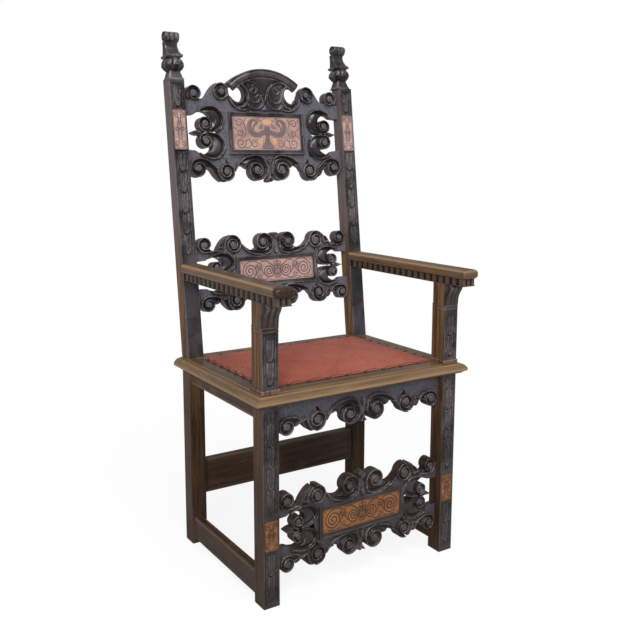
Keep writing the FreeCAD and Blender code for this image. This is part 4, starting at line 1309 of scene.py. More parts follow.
@dataclass(frozen=True)
class ScrollRow:
    """Half of a row of six scrolls along a board's edge.

    The shapes are written for a lower row; an upper one is the same upside down.
    """

    row: Row
    outer_v: float
    middle_v: float
    inner_v: float
    base: float
    outer_scale: float = 1.0
    middle_scale: float = 1.0
    inner_scale: float = 1.0
    arch_height: float = 1.0
    outer_x: float = 203.5
    middle_x: float = 126.0
    inner_x: float = 37.5
    tip_v: float = 33.0
    tip_width: float = 9.5
    starts: tuple[float, float, float] = (95, -78, 152)
    eyes: tuple[float, float, float] = (8.6, 8.2, 8.2)
    eye_gain: float = 0.05
    outer_radii: Pairs = ((0, 23.5), (0.26, 21.5), (0.51, 21.5), (0.76, 17.5), (1.0, 13.5),
                          (1.2, 11.2), (1.35, 10))
    middle_radii: Pairs = ((0, 24.5), (0.29, 21), (0.54, 17.8), (0.79, 15.3), (1.04, 13.3),
                           (1.3, 11.3), (1.6, 9.5))
    inner_radii: Pairs = ((0, 31), (0.083, 31), (0.333, 27.6), (0.583, 21), (0.833, 15.5),
                          (1.083, 13), (1.333, 10.5), (1.5, 9.5))
    link_rim: Pairs = ((1, -24.4), (10, -21.8), (18.7, -13.5), (24.4, -2), (27.5, 8))
    link_rim_end: Pairs = ((-38, 10), (-26.2, 19.4), (-14, 23.5), (-2.0, 23.5))
    link_edge: Pairs = ((13.2, -25.5), (22, -20.5), (34, -8.5), (41, 3))
    link_edge_end: Pairs = ((-26, 0.5), (-19, -2))
    arch_rim: Pairs = ((64, -6), (60, 4), (54, 13.5), (44, 23.5), (31, 31), (12, 36), (-4, 36.5),
                       (-20, 29.5), (-27, 15.5))
    arch_edge: Pairs = ((27, 3), (36, 9), (45, 11), (55, 7.5), (63, -4))

    def draw(self, board: Carving) -> None:
        """Draws the row on a board.

        Args:
            board: the carving that takes it.
        """
        flip = -self.row.value
        for scroll in (
                Volute(self.outer_x, self.outer_v, self.starts[0], -1, self.outer_radii,
                       self.eyes[0], self.outer_scale),
                Volute(self.middle_x, self.middle_v, self.starts[1], -1, self.middle_radii,
                       self.eyes[1], self.middle_scale),
                Volute(self.inner_x, self.inner_v, self.starts[2], 1, self.inner_radii,
                       self.eyes[2], self.inner_scale)):
            scroll.carve(board, scroll.eye * min(1.0, scroll.scale + self.eye_gain), flip)
        link, edge = (
            smooth_line(shifted(near, self.middle_x, self.middle_v, flip, self.middle_scale)
                        + shifted(far, self.outer_x, self.outer_v, flip, self.outer_scale))
            for near, far in ((self.link_rim, self.link_rim_end),
                              (self.link_edge, self.link_edge_end)))
        band = board.polygon(np.vstack([link, [(self.outer_x, self.outer_v)], edge[::-1]]))
        board.rim(link, edge[len(edge) // 3:])
        board.hollow(band)
        corner_up = np.array([(INNER_FACE + 9, self.outer_v), (INNER_FACE + 9, self.base),
                              (self.middle_x, self.base), (self.middle_x, self.middle_v)])
        board.add(board.polygon(np.vstack([edge, [(self.outer_x, self.outer_v)], corner_up])))
        arch, under = (
            smooth_line(shifted(line, self.inner_x, self.inner_v, flip, self.arch_height))
            for line in (self.arch_rim, self.arch_edge))
        vault = board.polygon(np.vstack([arch, [(self.inner_x, self.inner_v)], under]))
        board.rim(arch, under[len(under) // 2:])
        board.hollow(vault)
        board.add(vault, board.polygon(np.vstack([
            under, arch[:1], [(self.middle_x - 22, self.middle_v), (self.middle_x, self.base),
                              (0, self.base), (0, self.inner_v)]])))
        tip = self.inner_v - flip * self.tip_v
        bud = board.polygon(np.array([
            (-2, self.base), (self.inner_x, self.base), (8, self.inner_v),
            (self.tip_width - 4.5, tip + flip * 13), (self.tip_width, tip + flip * 5),
            (self.tip_width - 1, tip + flip * 1.5), (3, tip), (-2, tip)]))
        board.add(bud)
        head = self.inner_v + flip * self.arch_height * 31
        board.rim(smooth_line([(0, head - flip * 14), (3.2, head - flip * 6), (0, head)], 8))
        board.rim(np.array([(0, tip + flip * 14), (self.tip_width - 3, tip + flip * 4)]))


@dataclass(frozen=True)
class SideScrolls:
    """The pair of C scrolls beside a plaque and the opening next to the post."""

    volute_x: float = 178.0
    volute_v: float = 22.0
    scale: float = 1.0
    spike: float = 216.0
    radii: Pairs = ((0, 20), (0.26, 18), (0.51, 15.8), (0.76, 14.3), (1.0, 12), (1.2, 10.5))
    crescent: Pairs = ((17.5, 29.3), (12, 35.5), (4, 39), (-12.5, 43.8), (-33, 41), (-46, 28),
                       (-51.5, 12.5), (-47.5, -3.6), (-33, -17.5), (-12.5, -21.5), (3, -21.5))
    opening: Pairs = ((62, 20), (28, 22.5), (17.5, 29.3), (5.7, 32.2), (-6, 28.5), (-15.5, 21),
                      (-17, 8), (-8, -22), (62, -22))
    spike_root: float = 6.5

    def draw(self, board: Carving) -> None:
        """Draws the scrolls above and below the board's middle line.

        Args:
            board: the carving that takes them.
        """
        for flip in (1, -1):
            v = flip * self.volute_v
            crest = smooth_line(shifted(self.crescent, self.volute_x, v, flip, self.scale))
            shape = board.polygon(np.vstack([crest, [(self.volute_x, v)]]))
            board.add(shape)
            board.hollow(shape)
            board.rim(crest)
        for flip in (1, -1):
            v = flip * self.volute_v
            gap = shifted(self.opening, self.volute_x, v, flip, self.scale)
            board.pierce(board.polygon(np.array(gap)))
        for flip in (1, -1):
            v = flip * self.volute_v
            scroll = Volute(self.volute_x, v, 265, 1, self.radii, 8.6, self.scale)
            scroll.carve(board, 8.4 * self.scale, flip)
        root = self.volute_x + 8
        spike = np.array([(root, self.spike_root), (self.spike - 16, self.spike_root),
                          (self.spike - 8, 4.2), (self.spike, 0), (self.spike - 8, -4.2),
                          (self.spike - 16, -self.spike_root), (root, -self.spike_root)])
        board.add(board.polygon(spike))
        board.rim(np.array([(root + 8, 0), (self.spike - 2, 0)]))


@dataclass(frozen=True)
class PlaqueFrame:
    """Ridge, flat band and recess round a plaque."""

    width: float
    height: float
    ridge: float = 3.0
    band: float = 7.0
    band_depth: float = 1.8
    recess: float = 7.5
    soft: float = 1.2

    def draw(self, board: Carving) -> None:
        """Cuts the frame into a board that is otherwise carved.

        Args:
            board: the carving that takes it.
        """
        out = np.maximum(np.abs(board.x) - self.width / 2, np.abs(board.v) - self.height / 2)
        edge = self.band + self.ridge
        seat = out < 0
        flat = ramp(out, self.band - 0.4, self.band + 0.4)
        crown = np.abs(out - self.band - self.ridge / 2) / self.ridge
        depth = (1 - flat) * self.band_depth + flat * 0.6 * crown
        depth = np.where(seat, self.recess, depth)
        outside = ramp(out, edge, edge + self.soft)
        board.depth = np.where(out < edge + self.soft, depth * (1 - outside)
                               + board.depth * outside, board.depth)
        inside = out < edge
        ridge = flat * (1 - ramp(crown, 0.3, 0.6))
        # Rim mark on the ridge: wear and a painted highlight. Cove mark: painted shade in the
        # plaque's recess.
        board.marks["rim"] = np.where(inside, 0.6 * ridge, board.marks["rim"])
        board.marks["cove"] = np.where(inside, np.where(seat, 1.0, 0.0), board.marks["cove"])
        board.marks["ground"] = np.where(inside, 0.0, board.marks["ground"])


@dataclass(frozen=True)
class CrestRail:
    """Pierced crest rail under its arched moulding."""

    middle: float = 561.0
    setback: float = 9.0
    thickness: float = 26.0
    drift: float = 1.5
    step: float = 1.25
    foot: float = -131.0
    head: float = 156.0
    body: Boxes = ((-FAR, 128, -66, 72), (-FAR, 141, -17, 17), (150, FAR, 42, 80),
                   (150, FAR, -84, -42))
    plaque_frame: PlaqueFrame = PlaqueFrame(203.0, 87.0)
    arch_radius: float = 150.0
    arch_centre: float = 2.7
    outer: Volute = Volute(204, 97, 315, 1, ((0, 18.5), (0.65, 18.5), (0.78, 16.5), (0.9, 14),
                                             (1.08, 11)), 8.6)
    middle_volute: Volute = Volute(126.0, 104.5, 225, -1, (
        (0, 18.5), (0.12, 16.8), (0.25, 18.2), (0.37, 21), (0.62, 22.5), (0.8, 21), (0.92, 17.8),
        (1.12, 12.6), (1.37, 11), (1.45, 10.5)), 8.0)
    gap: Pairs = ((84, 101), (85.5, 108.5), (104, 131), (110, 142), (124, 136), (113, 124),
                  (106, 114), (105, 104), (103, 94), (94, 93))
    valley: Pairs = ((139, 126), (147, 120), (154, 112.5), (160, 104.5), (166, 95.5),
                     (172, 89), (179, 85.5), (187, 85), (204, 85.5))
    surround: Pairs = ((104, 92), (101, 80), (94, 70.5), (83.5, 63.5), (70, 59.5), (58, 60.5))
    surround_inner: Pairs = ((66, 124), (56, 114), (50.5, 101), (50.5, 88), (56, 76), (66, 68),
                             (79, 65.5))
    keyhole_x: float = 79.5
    keyhole_v: float = 101.0
    keyhole_width: float = 20.0
    keyhole_height: float = 22.0
    main_leaf: Pairs = ((52, 134), (35, 131.5), (20, 122), (8, 106), (4.3, 90), (7.5, 75),
                        (18, 66), (32, 62.5), (42, 65.5), (48, 72.5))
    lower_lobe: Pairs = ((11, 98), (15, 87), (23, 80.5), (33, 79), (42, 82), (47.5, 89))
    middle_lobe: Pairs = ((22, 119), (23, 109), (30, 102.5), (38, 103.5), (42.5, 109))
    tip_lobe: Pairs = ((34, 124), (33, 116), (38, 111.5))
    leaf_half: float = 56.0
    leaf_foot: float = 60.0
    leaf_depth: float = 0.62
    leaf_shade: float = 0.35

    def build(self) -> bpy.types.Object:
        """Carves the rail.

        Returns:
            The piece.
        """
        board = Carving(INNER_FACE - JOINT_GAP, self.foot, self.head, self.step)
        self.draw_upper(board)
        board.add(*(board.box(*part) for part in self.body))
        ScrollRow(Row.LOWER, -89.5, -98.5, -93.5, -60).draw(board)
        SideScrolls().draw(board)
        chisel = Chisel()
        board.cut(chisel)
        leaves = (board.x < self.leaf_half) & (board.v > self.leaf_foot)
        board.depth = np.where(leaves, self.leaf_depth * board.depth, board.depth)
        board.marks["cove"] = np.where(leaves, self.leaf_shade, 1.0) * board.marks["cove"]
        self.plaque_frame.draw(board)
        board.round_edges(chisel, self.setback)
        shell = board.shell(BACK_FACE, self.middle, self.setback + self.thickness,
                            drift=self.drift)
        return ebonised("carved", "crest_rail", shell)

    def draw_upper(self, board: Carving) -> None:
        """Draws what stands above the plaque: scrolls, keyholes and leaf sprays.

        Args:
            board: the carving that takes them.
        """
        field_top = np.minimum(board.disc(0, self.arch_centre, self.arch_radius),
                               board.box(-FAR, 106, 50, FAR))
        valley = smooth_line(list(self.valley))
        land = np.vstack([valley, [(INNER_FACE + 9, 79), (INNER_FACE + 9, 45), (104, 45),
                                   (104, 104), (125, 108)]])
        board.add(field_top, board.polygon(land))
        keyhole = 1 - np.hypot((board.x - self.keyhole_x) / self.keyhole_width,
                               (board.v - self.keyhole_v) / self.keyhole_height)
        board.pierce(keyhole * self.keyhole_width)
        board.pierce(board.disc(self.keyhole_x + 9.0, self.keyhole_v + 12.0, 9.5),
                     board.polygon(np.array(self.gap)))
        for scroll in (self.outer, self.middle_volute):
            scroll.carve(board, scroll.eye)
        surround = smooth_line(list(self.surround))
        inner = smooth_line(list(self.surround_inner))
        board.rim(surround, inner)
        leaves = [smooth_line(list(line)) for line in (self.main_leaf, self.lower_lobe,
                                                       self.middle_lobe, self.tip_lobe)]
        board.rim(*leaves)
        board.hollow(board.box(-FAR, 58, 60, FAR), board.disc(78, 92, 31),
                     board.polygon(np.vstack([leaves[0], [(60, 80), (60, 134)]])))


@dataclass(frozen=True)
class StripRail:
    """Pierced rail with scrolls above and below a long plaque."""

    node: str
    middle: float
    setback: float
    face: Face
    drift: float
    upper: tuple[float, float, float]
    lower: tuple[float, float, float]
    thickness: float = 27.0
    step: float = 1.3
    foot: float = -99.0
    head: float = 107.0
    body: Boxes = ((-FAR, 130, -44, 44), (150, FAR, 30, 58), (150, FAR, -55, -30))
    plaque_frame: PlaqueFrame = PlaqueFrame(222.0, 58.0)

    def build(self) -> bpy.types.Object:
        """Carves the rail.

        Returns:
            The piece.
        """
        board = Carving(INNER_FACE - JOINT_GAP, self.foot, self.head, self.step)
        board.add(*(board.box(*part) for part in self.body))
        ScrollRow(Row.LOWER, *self.lower, -42, 0.82, 1.0, 0.88, 0.78, tip_v=26.0).draw(board)
        ScrollRow(Row.UPPER, *self.upper, 42, 0.82, 1.0, 0.88, 0.86, tip_v=26.0,
                  link_edge=((12, -24), (24, -17), (36, -4), (44, 9)),
                  link_edge_end=((-31, 22), (-21, 20)),
                  arch_rim=((66, -2), (60, 9), (54, 17.5), (44, 25.5), (31, 31.5), (12, 35.5),
                            (-4, 36), (-20, 29.5), (-27, 15.5)),
                  arch_edge=((26, 20), (40, 18.5), (53, 12), (64, 0))).draw(board)
        SideScrolls(176.0, 18.0, 0.78, 208.0).draw(board)
        chisel = Chisel()
        board.cut(chisel)
        self.plaque_frame.draw(board)
        board.round_edges(chisel, self.setback)
        shell = board.shell(self.face, self.middle, self.setback + self.thickness,
                            drift=self.drift)
        return ebonised("carved", self.node, shell)


LOWER_BACK = StripRail("lower_back_rail", 203.5, 8.0, BACK_FACE, 4.5, (75.0, 72.0, 73.0),
                       (-75.0, -71.5, -70.0))
STRETCHER = StripRail("front_stretcher", 157.5, 11.0, LEG_FACE, 2.5, (72.5, 69.5, 71.5),
                      (-75.0, -71.5, -71.0))


@dataclass(frozen=True)
class FrontApron:
    """Apron under the seat, solid above and scrolled below."""

    setback: float = 11.0
    thickness: float = 27.0
    drift: float = 2.5
    step: float = 1.3
    tall: float = 84.0
    band: float = 26.0
    row_drops: tuple[float, float, float, float] = (58.0, 54.5, 54.5, 20.0)

    def build(self) -> bpy.types.Object:
        """Carves the apron.

        Returns:
            The piece.
        """
        top = corner("front_apron", True).z
        board = Carving(INNER_FACE - JOINT_GAP, top - self.tall, top, self.step)
        board.add(board.box(-FAR, FAR, top - self.band, FAR))
        ScrollRow(Row.LOWER, *(top - drop for drop in self.row_drops), 0.85, 1.0, 0.9, 0.93,
                  tip_v=27.0).draw(board)
        chisel = Chisel()
        board.cut(chisel)
        board.round_edges(chisel, self.setback)
        shell = board.shell(LEG_FACE, 0.0, self.setback + self.thickness, drift=self.drift)
        return ebonised("carved", "front_apron", shell)


def nearness(board: Carving, lines: list[np.ndarray]) -> np.ndarray:
    """Distance of every grid point of a board from the nearest of some lines."""
    return np.minimum.reduce([board.distance(line) for line in lines])


@dataclass(frozen=True)
class HuskPanel:
    """Sunk panel with a chain of husks between two reeds."""

    foot: float
    head: float
    nibs: tuple[float, ...]
    half: float = 15.5
    husk: float = 47.0
    depth: float = 2.5
    tongue: Pairs = ((6.4, 47), (6.4, 18), (5.6, 9), (3.0, 2.4), (0, 0))
    flare: Pairs = ((8.2, 46), (8.6, 26), (9.8, 15), (12.0, 9.5), (11.0, 6.5))
    flute: Pairs = ((2.4, 45), (2.5, 15), (1.4, 8))
    reed_x: float = 13.4

    def draw(self, board: Carving) -> None:
        """Cuts the panel into a board that is otherwise carved.

        Args:
            board: the carving that takes it.
        """
        inside = np.minimum(self.half - board.x,
                            np.minimum(board.v - self.foot, self.head - board.v))
        sunk = ramp(inside, -0.4, 0.9)
        reed = np.array([(self.reed_x, self.foot + 2.5), (self.reed_x, self.head - 2.5)])
        ridges, flutes, tongues, hollows = [reed], [], np.full(board.x.shape, -FAR), -FAR
        for nib in self.nibs:
            tongue = smooth_line(shifted(self.tongue, 0, nib, 1), 5)
            ridges += [tongue, smooth_line(shifted(self.flare, 0, nib, 1), 5)]
            flutes.append(smooth_line(shifted(self.flute, 0, nib, 1), 3))
            body = board.polygon(np.vstack([tongue, [(-4, nib), (-4, nib + self.husk)]]))
            tongues = np.maximum(tongues, body)
            hollows = np.maximum(hollows, board.disc(0, nib - 4.5, 6.0))
        ridge = 1 - ramp(nearness(board, ridges), 0.45, 1.25)
        tongue = ramp(tongues, -0.4, 0.8)
        flute = (1 - ramp(nearness(board, flutes), 0.3, 1.0)) * tongue
        hollow = ramp(hollows, -0.5, 2.0) * (1 - tongue)
        bed = self.depth + 0.8 * hollow
        bed = bed * (1 - tongue) + tongue * (0.75 + 0.9 * flute)
        bed = bed * (1 - ridge) + 0.3 * ridge
        board.depth = board.depth * (1 - sunk) + bed * sunk
        # Rim mark on the reeds and tongues: wear and a painted highlight. Cove mark: painted shade
        # in the flutes, the hollows and the sunk ground.
        board.marks["rim"] = np.maximum(board.marks["rim"] * (1 - sunk),
                                        sunk * np.maximum(0.75 * ridge,
                                                          0.3 * tongue * (1 - flute)))
        board.marks["cove"] = np.maximum(board.marks["cove"] * (1 - sunk), sunk * (1 - ridge)
                                         * np.maximum(flute, (0.35 + 0.65 * hollow)
                                                      * (1 - tongue)))


@dataclass(frozen=True)
class Strip:
    """Square timber whose front face is carved."""

    low: float
    high: float
    panels: tuple[HuskPanel, ...]
    recess: tuple[float, float] | None = None
    recess_depth: float = 2.6
    recess_half: float = 17.0
    step: float = 0.85
    soft: float = 1.1

    def shell(self, face: Face, depth: float, lean: float = 0.0, taper: float = 0.0) -> Shell:
        """Carves the timber, centred on x 0.

        Args:
            face: plane of the front face.
            depth: front to back at the foot.
            lean: how far the back's foot is lifted above the front's.
            taper: how much less deep the back is at the top.

        Returns:
            The shell.
        """
        board = Carving(LEG_WIDTH / 2, self.low, self.high, self.step)
        board.add(board.box(-FAR, LEG_WIDTH / 2, self.low, self.high))
        edge = np.minimum(board.box(-FAR, LEG_WIDTH / 2, self.low, self.high), 5)
        rub = 1 - ramp(edge, 0.2, 1.8)
        board.depth = self.soft * 0.6 * np.clip(1 - edge / self.soft, 0, 1) ** 2
        # Rim mark on the edges: wear and a painted highlight.
        board.marks = {"rim": 0.7 * rub, "cove": np.zeros(rub.shape),
                       "ground": np.zeros(rub.shape)}
        for panel in self.panels:
            panel.draw(board)
        if self.recess:
            seat = ramp(board.box(-FAR, self.recess_half, *self.recess), -0.2, 0.4)
            board.depth = board.depth * (1 - seat) + self.recess_depth * seat
            board.marks["rim"] = board.marks["rim"] * (1 - seat)
            # Cove mark: painted shade in the plaque's recess.
            board.marks["cove"] = np.maximum(board.marks["cove"] * (1 - seat), seat)
        return board.shell(face, 0.0, depth, lean, taper, 1.0)


@dataclass(frozen=True)
class FrontLeg:
    """Square front leg with two husk panels and a plaque recess between them."""

    side: Side
    panels: tuple[HuskPanel, ...] = (HuskPanel(9, 128.5, (75, 24.5)),
                                     HuskPanel(213, 446, (416, 369, 319.5, 271, 222.5)))
    recess: tuple[float, float] = (133.0, 201.0)

    def build(self) -> bpy.types.Object:
        """Carves the leg.

        Returns:
            The piece.
        """
        name = self.side.node("front_leg")
        low, high = ends(name)
        strip = Strip(0.0, high.z, self.panels, self.recess)
        shell = strip.shell(LEG_FACE, high.y - low.y).moved(LEG_CENTRE).on(self.side)
        return ebonised("carved", name, shell)


@dataclass(frozen=True)
class RearPost:
    """Back post: straight below the seat, raked and carved above it."""

    side: Side
    head: float = POST_HEAD
    foot_depth: float = 42.0
    head_depth: float = 37.0
    panels: tuple[HuskPanel, ...] = (HuskPanel(256, 513.5, (463.7, 412.9, 361, 310.8, 259)),
                                     HuskPanel(616.5, 678, (623.5,)))
    recess: tuple[float, float] = (516.5, 613.5)

    def build(self) -> bpy.types.Object:
        """Shapes the post.

        Returns:
            The piece.
        """
        name = self.side.node("rear_post")
        strip = Strip(0.0, self.head, self.panels, self.recess)
        upper = strip.shell(BACK_FACE, self.foot_depth, self.foot_depth * RAKE_SLOPE,
                            self.foot_depth - self.head_depth).moved(LEG_CENTRE)
        low = corner(name).y
        lower = worn_bar(Along.Z, 0.0, BACK_FACE.foot, box_corners(
            INNER_FACE, HALF_CHAIR, low, low + self.foot_depth))
        lower.marks["side"] = np.ones(len(lower.points))
        # Rim mark: wear and a painted highlight.
        lower.marks["rim"] = 0.4 * lower.marks.pop("wear")
        shell = join(upper, lower).on(self.side)
        return ebonised("carved", name, shell)


@dataclass(frozen=True)
class Finial:
    """Neck, lobed bulb, square collar, bracket and forward roll on a post."""

    side: Side
    base: float = POST_HEAD
    depth_centre: float = 18.5
    neck: float = 20.0
    neck_width: float = 26.0
    bulb: float = 34.0
    bulb_radius: float = 28.5
    lobes: int = 8
    bulb_facets: int = 160
    collar: float = 9.0
    collar_width: float = 42.5
    right_inset: float = 6.0
    bracket: float = 34.0
    roll_radius: float = 13.5
    roll_length: float = 37.0
    roll_facets: int = 96

    def lifted(self, shell: Shell) -> Shell:
        """Puts a shell, drawn upright round the post's middle, on the raked post.

        Args:
            shell: the shell.

        Returns:
            The placed shell.
        """
        x, y, z = shell.points.T
        points = BACK_FACE.place(x + LEG_CENTRE, y + self.depth_centre, self.base + z)
        return Shell(points, shell.faces, shell.marks)

    def square(self, stops: list[tuple[float, float, float, float]], soft: float) -> Shell:
        """Square block through stops.

        Args:
            stops: height, half width, half depth and wear of each ring.
            soft: rounding of the edges.

        Returns:
            The shell.
        """
        rings, wears_and_highlights = [], []
        for height, half_x, half_y, rub in stops:
            ring, wear = worn_ring(box_corners(-half_x, half_x, -half_y, half_y), soft)
            rings.append(Along.Z.place(height, ring))
            wears_and_highlights.append(np.maximum(wear, rub))
        # Rim mark: wear and a painted highlight.
        return loft(rings, {"rim": wears_and_highlights})

    def lobed_bulb(self) -> Shell:
        """Bulb with lobes, each with an arch over a hollow at its foot, painted dark as shade.

        Returns:
            The shell.
        """
        rings, wears_and_highlights, painted_shades, pebbles = [], [], [], []
        turn = full_turn(self.bulb_facets)
        wave = np.abs(np.cos((turn + math.pi / 2) * self.lobes / 2))
        for share in np.linspace(0.02, 0.98, 36):
            swell = math.sin(math.pi * (0.14 + 0.72 * share)) ** 0.6
            radius = self.bulb_radius * swell * (0.9 + 0.1 * wave ** 0.5)
            arch = np.hypot((1 - wave) / 0.75, (share - 0.12) / 0.3)
            hollow = 1 - ramp(arch, 0.7, 0.95)
            band = ramp(arch, 0.9, 1.05) * (1 - ramp(arch, 1.1, 1.35))
            groove = 1 - ramp(wave, 0.12, 0.45)
            radius = radius - 2.6 * hollow + 0.5 * band
            rings.append(np.column_stack([radius * np.cos(turn), radius * np.sin(turn),
                                          np.full(len(turn), self.neck + share * self.bulb)]))
            # Rim mark: wear and a painted highlight on the arches and the lobes' upper crowns. Cove
            # mark: painted shade in the hollows and the grooves between lobes.
            wears_and_highlights.append(0.6 * np.maximum(band, 0.6 * wave ** 3 * ramp(share, 0.45, 0.7)))
            painted_shades.append(np.maximum(hollow, 0.8 * groove * (1 - band)))
            # Ground mark: a faint tint of the punched ground on the upper half, off the grooves.
            pebbles.append(0.15 * ramp(share, 0.42, 0.55) * (1 - groove))
        return loft(rings, {"rim": wears_and_highlights, "cove": painted_shades, "ground": pebbles})

    def scroll_bracket(self, foot: float) -> Shell:
        """Bracket with a concave front that carries the roll.

        Args:
            foot: height of its foot above the post.

        Returns:
            The shell.
        """
        rings, wears_and_highlights = [], []
        for share in np.linspace(0, 1, 14):
            half = 18.5 - 2.0 * math.sin(math.pi * min(1.0, share * 1.2) * 0.5)
            front = -18.5 + 17.5 * math.sin(math.pi * 0.5 * min(1.0, 1.3 * share)) ** 0.8
            front -= 4.0 * ramp(np.array(share), 0.8, 1.0)
            rear = 15.5 + 1.5 * share
            ring, wear = worn_ring(box_corners(-half, half, front, rear), 1.3)
            rings.append(Along.Z.place(foot + share * self.bracket, ring))
            wears_and_highlights.append(wear)
        # Rim mark: wear and a painted highlight.
        return loft(rings, {"rim": wears_and_highlights})

    def reeded_roll(self, middle: float) -> Shell:
        """Roll in three reeded bands with a spiral on each end.

        Args:
            middle: height of its middle above the post.

        Returns:
            The shell.
        """
        half, radius, around = self.roll_length / 2, self.roll_radius, self.roll_facets
        turn = full_turn(around)
        rings, wears_and_highlights, painted_shades = [], [], []

        def disc(side: int) -> None:
            """Adds the rings of one end, with its spiral groove.

            Args:
                side: -1 for the left end, 1 for the right one.
            """
            for share in (np.linspace(0.04, 0.94, 16) if side < 0
                          else np.linspace(0.94, 0.04, 16)):
                winding = (turn * -1 / (2 * math.pi) + share * 2.4) % 1.0
                groove = 1 - ramp(np.abs(winding - 0.5), 0.12, 0.3)
                groove = groove * (share > 0.16)
                rings.append(np.column_stack([
                    side * (half - 1.6 * groove), radius * share * np.cos(turn),
                    middle + radius * share * np.sin(turn)]))
                # Rim mark: wear and a painted highlight off the groove. Cove mark: painted shade in
                # the spiral groove.
                wears_and_highlights.append(0.7 * (1 - groove))
                painted_shades.append(groove)

        disc(-1)
        for at in np.linspace(-1, 1, 43):
            reed = abs(math.sin(math.pi * 3 * (at + 1) / 2)) ** 0.45
            fine = 0.5 + 0.5 * math.cos(9 * 2 * math.pi * (at + 1) / 2)
            size = radius * (0.86 + 0.14 * reed) - 0.35 * fine
            rings.append(np.column_stack([np.full(around, at * half), size * np.cos(turn),
                                          middle + size * np.sin(turn)]))
            # Rim mark: wear and a painted highlight on the reeds. Cove mark: painted shade between
            # them.
            wears_and_highlights.append(np.full(around, 0.55 * reed ** 4))
            painted_shades.append(np.full(around, 0.9 * (1 - reed)))
        disc(1)
        return loft(rings, {"rim": wears_and_highlights, "cove": painted_shades}).moved(y=14.0 - radius)

    def build(self) -> bpy.types.Object:
        """Shapes the finial.

        Returns:
            The piece.
        """
        name = self.side.node("finial")
        half = LEG_WIDTH / 2
        waist = self.neck_width / 2
        neck = self.square([(0, half + 0.6, 18.6, 0.8), (2.4, half + 0.6, 18.6, 0.7),
                            (5.0, half - 1.8, 17.0, 0.0), (14, waist + 2.6, waist + 1.6, 0),
                            (self.neck + 2.5, waist, waist, 0.2)], 1.4)
        top = self.neck + self.bulb - 1.0
        wide = self.collar_width / 2
        plate = self.square([(top, wide - 3.2, wide - 3.2, 0.4), (top + 3, wide, wide, 1.0),
                             (top + 7, wide, wide, 1.0),
                             (top + self.collar, wide - 3.2, wide - 3.2, 0.4)], 1.4)
        bracket_foot = top + self.collar - 0.5
        roll_middle = bracket_foot + self.bracket + self.roll_radius * 0.72
        shell = join(neck, self.lobed_bulb(), plate, self.scroll_bracket(bracket_foot),
                     self.reeded_roll(roll_middle))
        shell = self.lifted(shell).on(self.side)
        if self.side is Side.RIGHT:
            shell = shell.moved(-self.right_inset)
        return ebonised("turned", name, shell)


@dataclass(frozen=True)
class ArmSupport:
    """Square support: plinth, husk panel, two beads and a lobed corbel."""

    side: Side
    foot: float = 484.0
    under: float = 680.0
    depth: float = 46.0
    plinth: float = 9.0
    reach: float = 2.5
    bead_heights: tuple[float, float] = (618.5, 626.5)
    bead_radius: float = 1.0
    panels: tuple[HuskPanel, ...] = (HuskPanel(500, 614, (554, 505)),)
    corbel_reach: float = 18.0
    corbel_profile: Pairs = ((0, 0), (0.1, 0.16), (0.18, 0.3), (0.42, 0.5), (0.75, 0.68),
                             (0.94, 0.78), (1.0, 0.87), (0.94, 0.95), (0.78, 1.0))

    def band(self, low: float, high: float, reach: float, soft: float) -> Shell:
        """Square band that stands proud of the support on all four sides.

        Args:
            low: its lower edge.
            high: its upper edge.
            reach: how far it stands proud.
            soft: rounding of its edges.

        Returns:
            The shell.
        """
        half = LEG_WIDTH / 2 + reach
        bar = worn_bar(Along.Z, low, high, box_corners(
            LEG_CENTRE - half, LEG_CENTRE + half, LEG_FACE.y - reach,
            LEG_FACE.y + self.depth + reach), soft)
        # Rim mark: wear and a painted highlight.
        bar.marks = {"rim": bar.marks["wear"], "side": np.ones(len(bar.points))}
        return bar

    def corbel(self) -> Shell:
        """Corbel whose front swells forward in three lobes.

        Returns:
            The shell.
        """
        low, high = self.bead_heights[1] + self.bead_radius - 0.5, self.under
        half = LEG_WIDTH / 2
        across = np.linspace(-half, half, 41)
        lobe = np.abs(np.sin(math.pi * 3 * (across + half) / (2 * half))) ** 0.5
        reaches, heights = zip(*self.corbel_profile)
        rings, wears_and_highlights, painted_shades, flanks = [], [], [], []
        for share in np.linspace(0, 1, 26):
            swell = float(np.interp(share, heights, reaches))
            front = LEG_FACE.y - self.corbel_reach * swell + 3.0 * (1 - lobe) * min(1, swell * 3)
            rear, soft = LEG_FACE.y + self.depth, 1.5
            height = low + share * (high - low)
            points = [(LEG_CENTRE + x, y, height) for x, y in zip(across, front)]
            points += [(LEG_CENTRE + half, LEG_FACE.y + 12, height),
                       (LEG_CENTRE + half, rear - soft, height),
                       (LEG_CENTRE + half - soft, rear, height),
                       (LEG_CENTRE - half + soft, rear, height),
                       (LEG_CENTRE - half, rear - soft, height),
                       (LEG_CENTRE - half, LEG_FACE.y + 12, height)]
            rings.append(points)
            tail = [0.25, 0.1, 0.1, 0.1, 0.1, 0.25]
            # Rim mark: wear and a painted highlight on the lobes. Cove mark: painted shade in the
            # grooves between them.
            wears_and_highlights.append(list(0.75 * lobe ** 4 * ramp(np.array(swell), 0.3, 1.0)) + tail)
            painted_shades.append(list(0.95 * (1 - lobe) ** 0.7) + [0.0] * 6)
            flanks.append([0.3] * len(across) + [1.0] * 6)
        return loft(rings, {"rim": wears_and_highlights, "cove": painted_shades, "side": flanks})

    def build(self) -> bpy.types.Object:
        """Shapes the support.

        Returns:
            The piece.
        """
        name = self.side.node("arm_support")
        top = self.bead_heights[1] + 2
        strip = Strip(self.foot + self.plinth - 1, top, self.panels)
        shaft = strip.shell(LEG_FACE, self.depth).moved(LEG_CENTRE)
        beads = [self.band(height - self.bead_radius, height + self.bead_radius,
                           0.6 * self.bead_radius, 0.5) for height in self.bead_heights]
        shell = join(shaft, self.band(self.foot, self.foot + self.plinth, self.reach, 1.2),
                     self.corbel(), *beads).on(self.side)
        return ebonised("carved", name, shell)


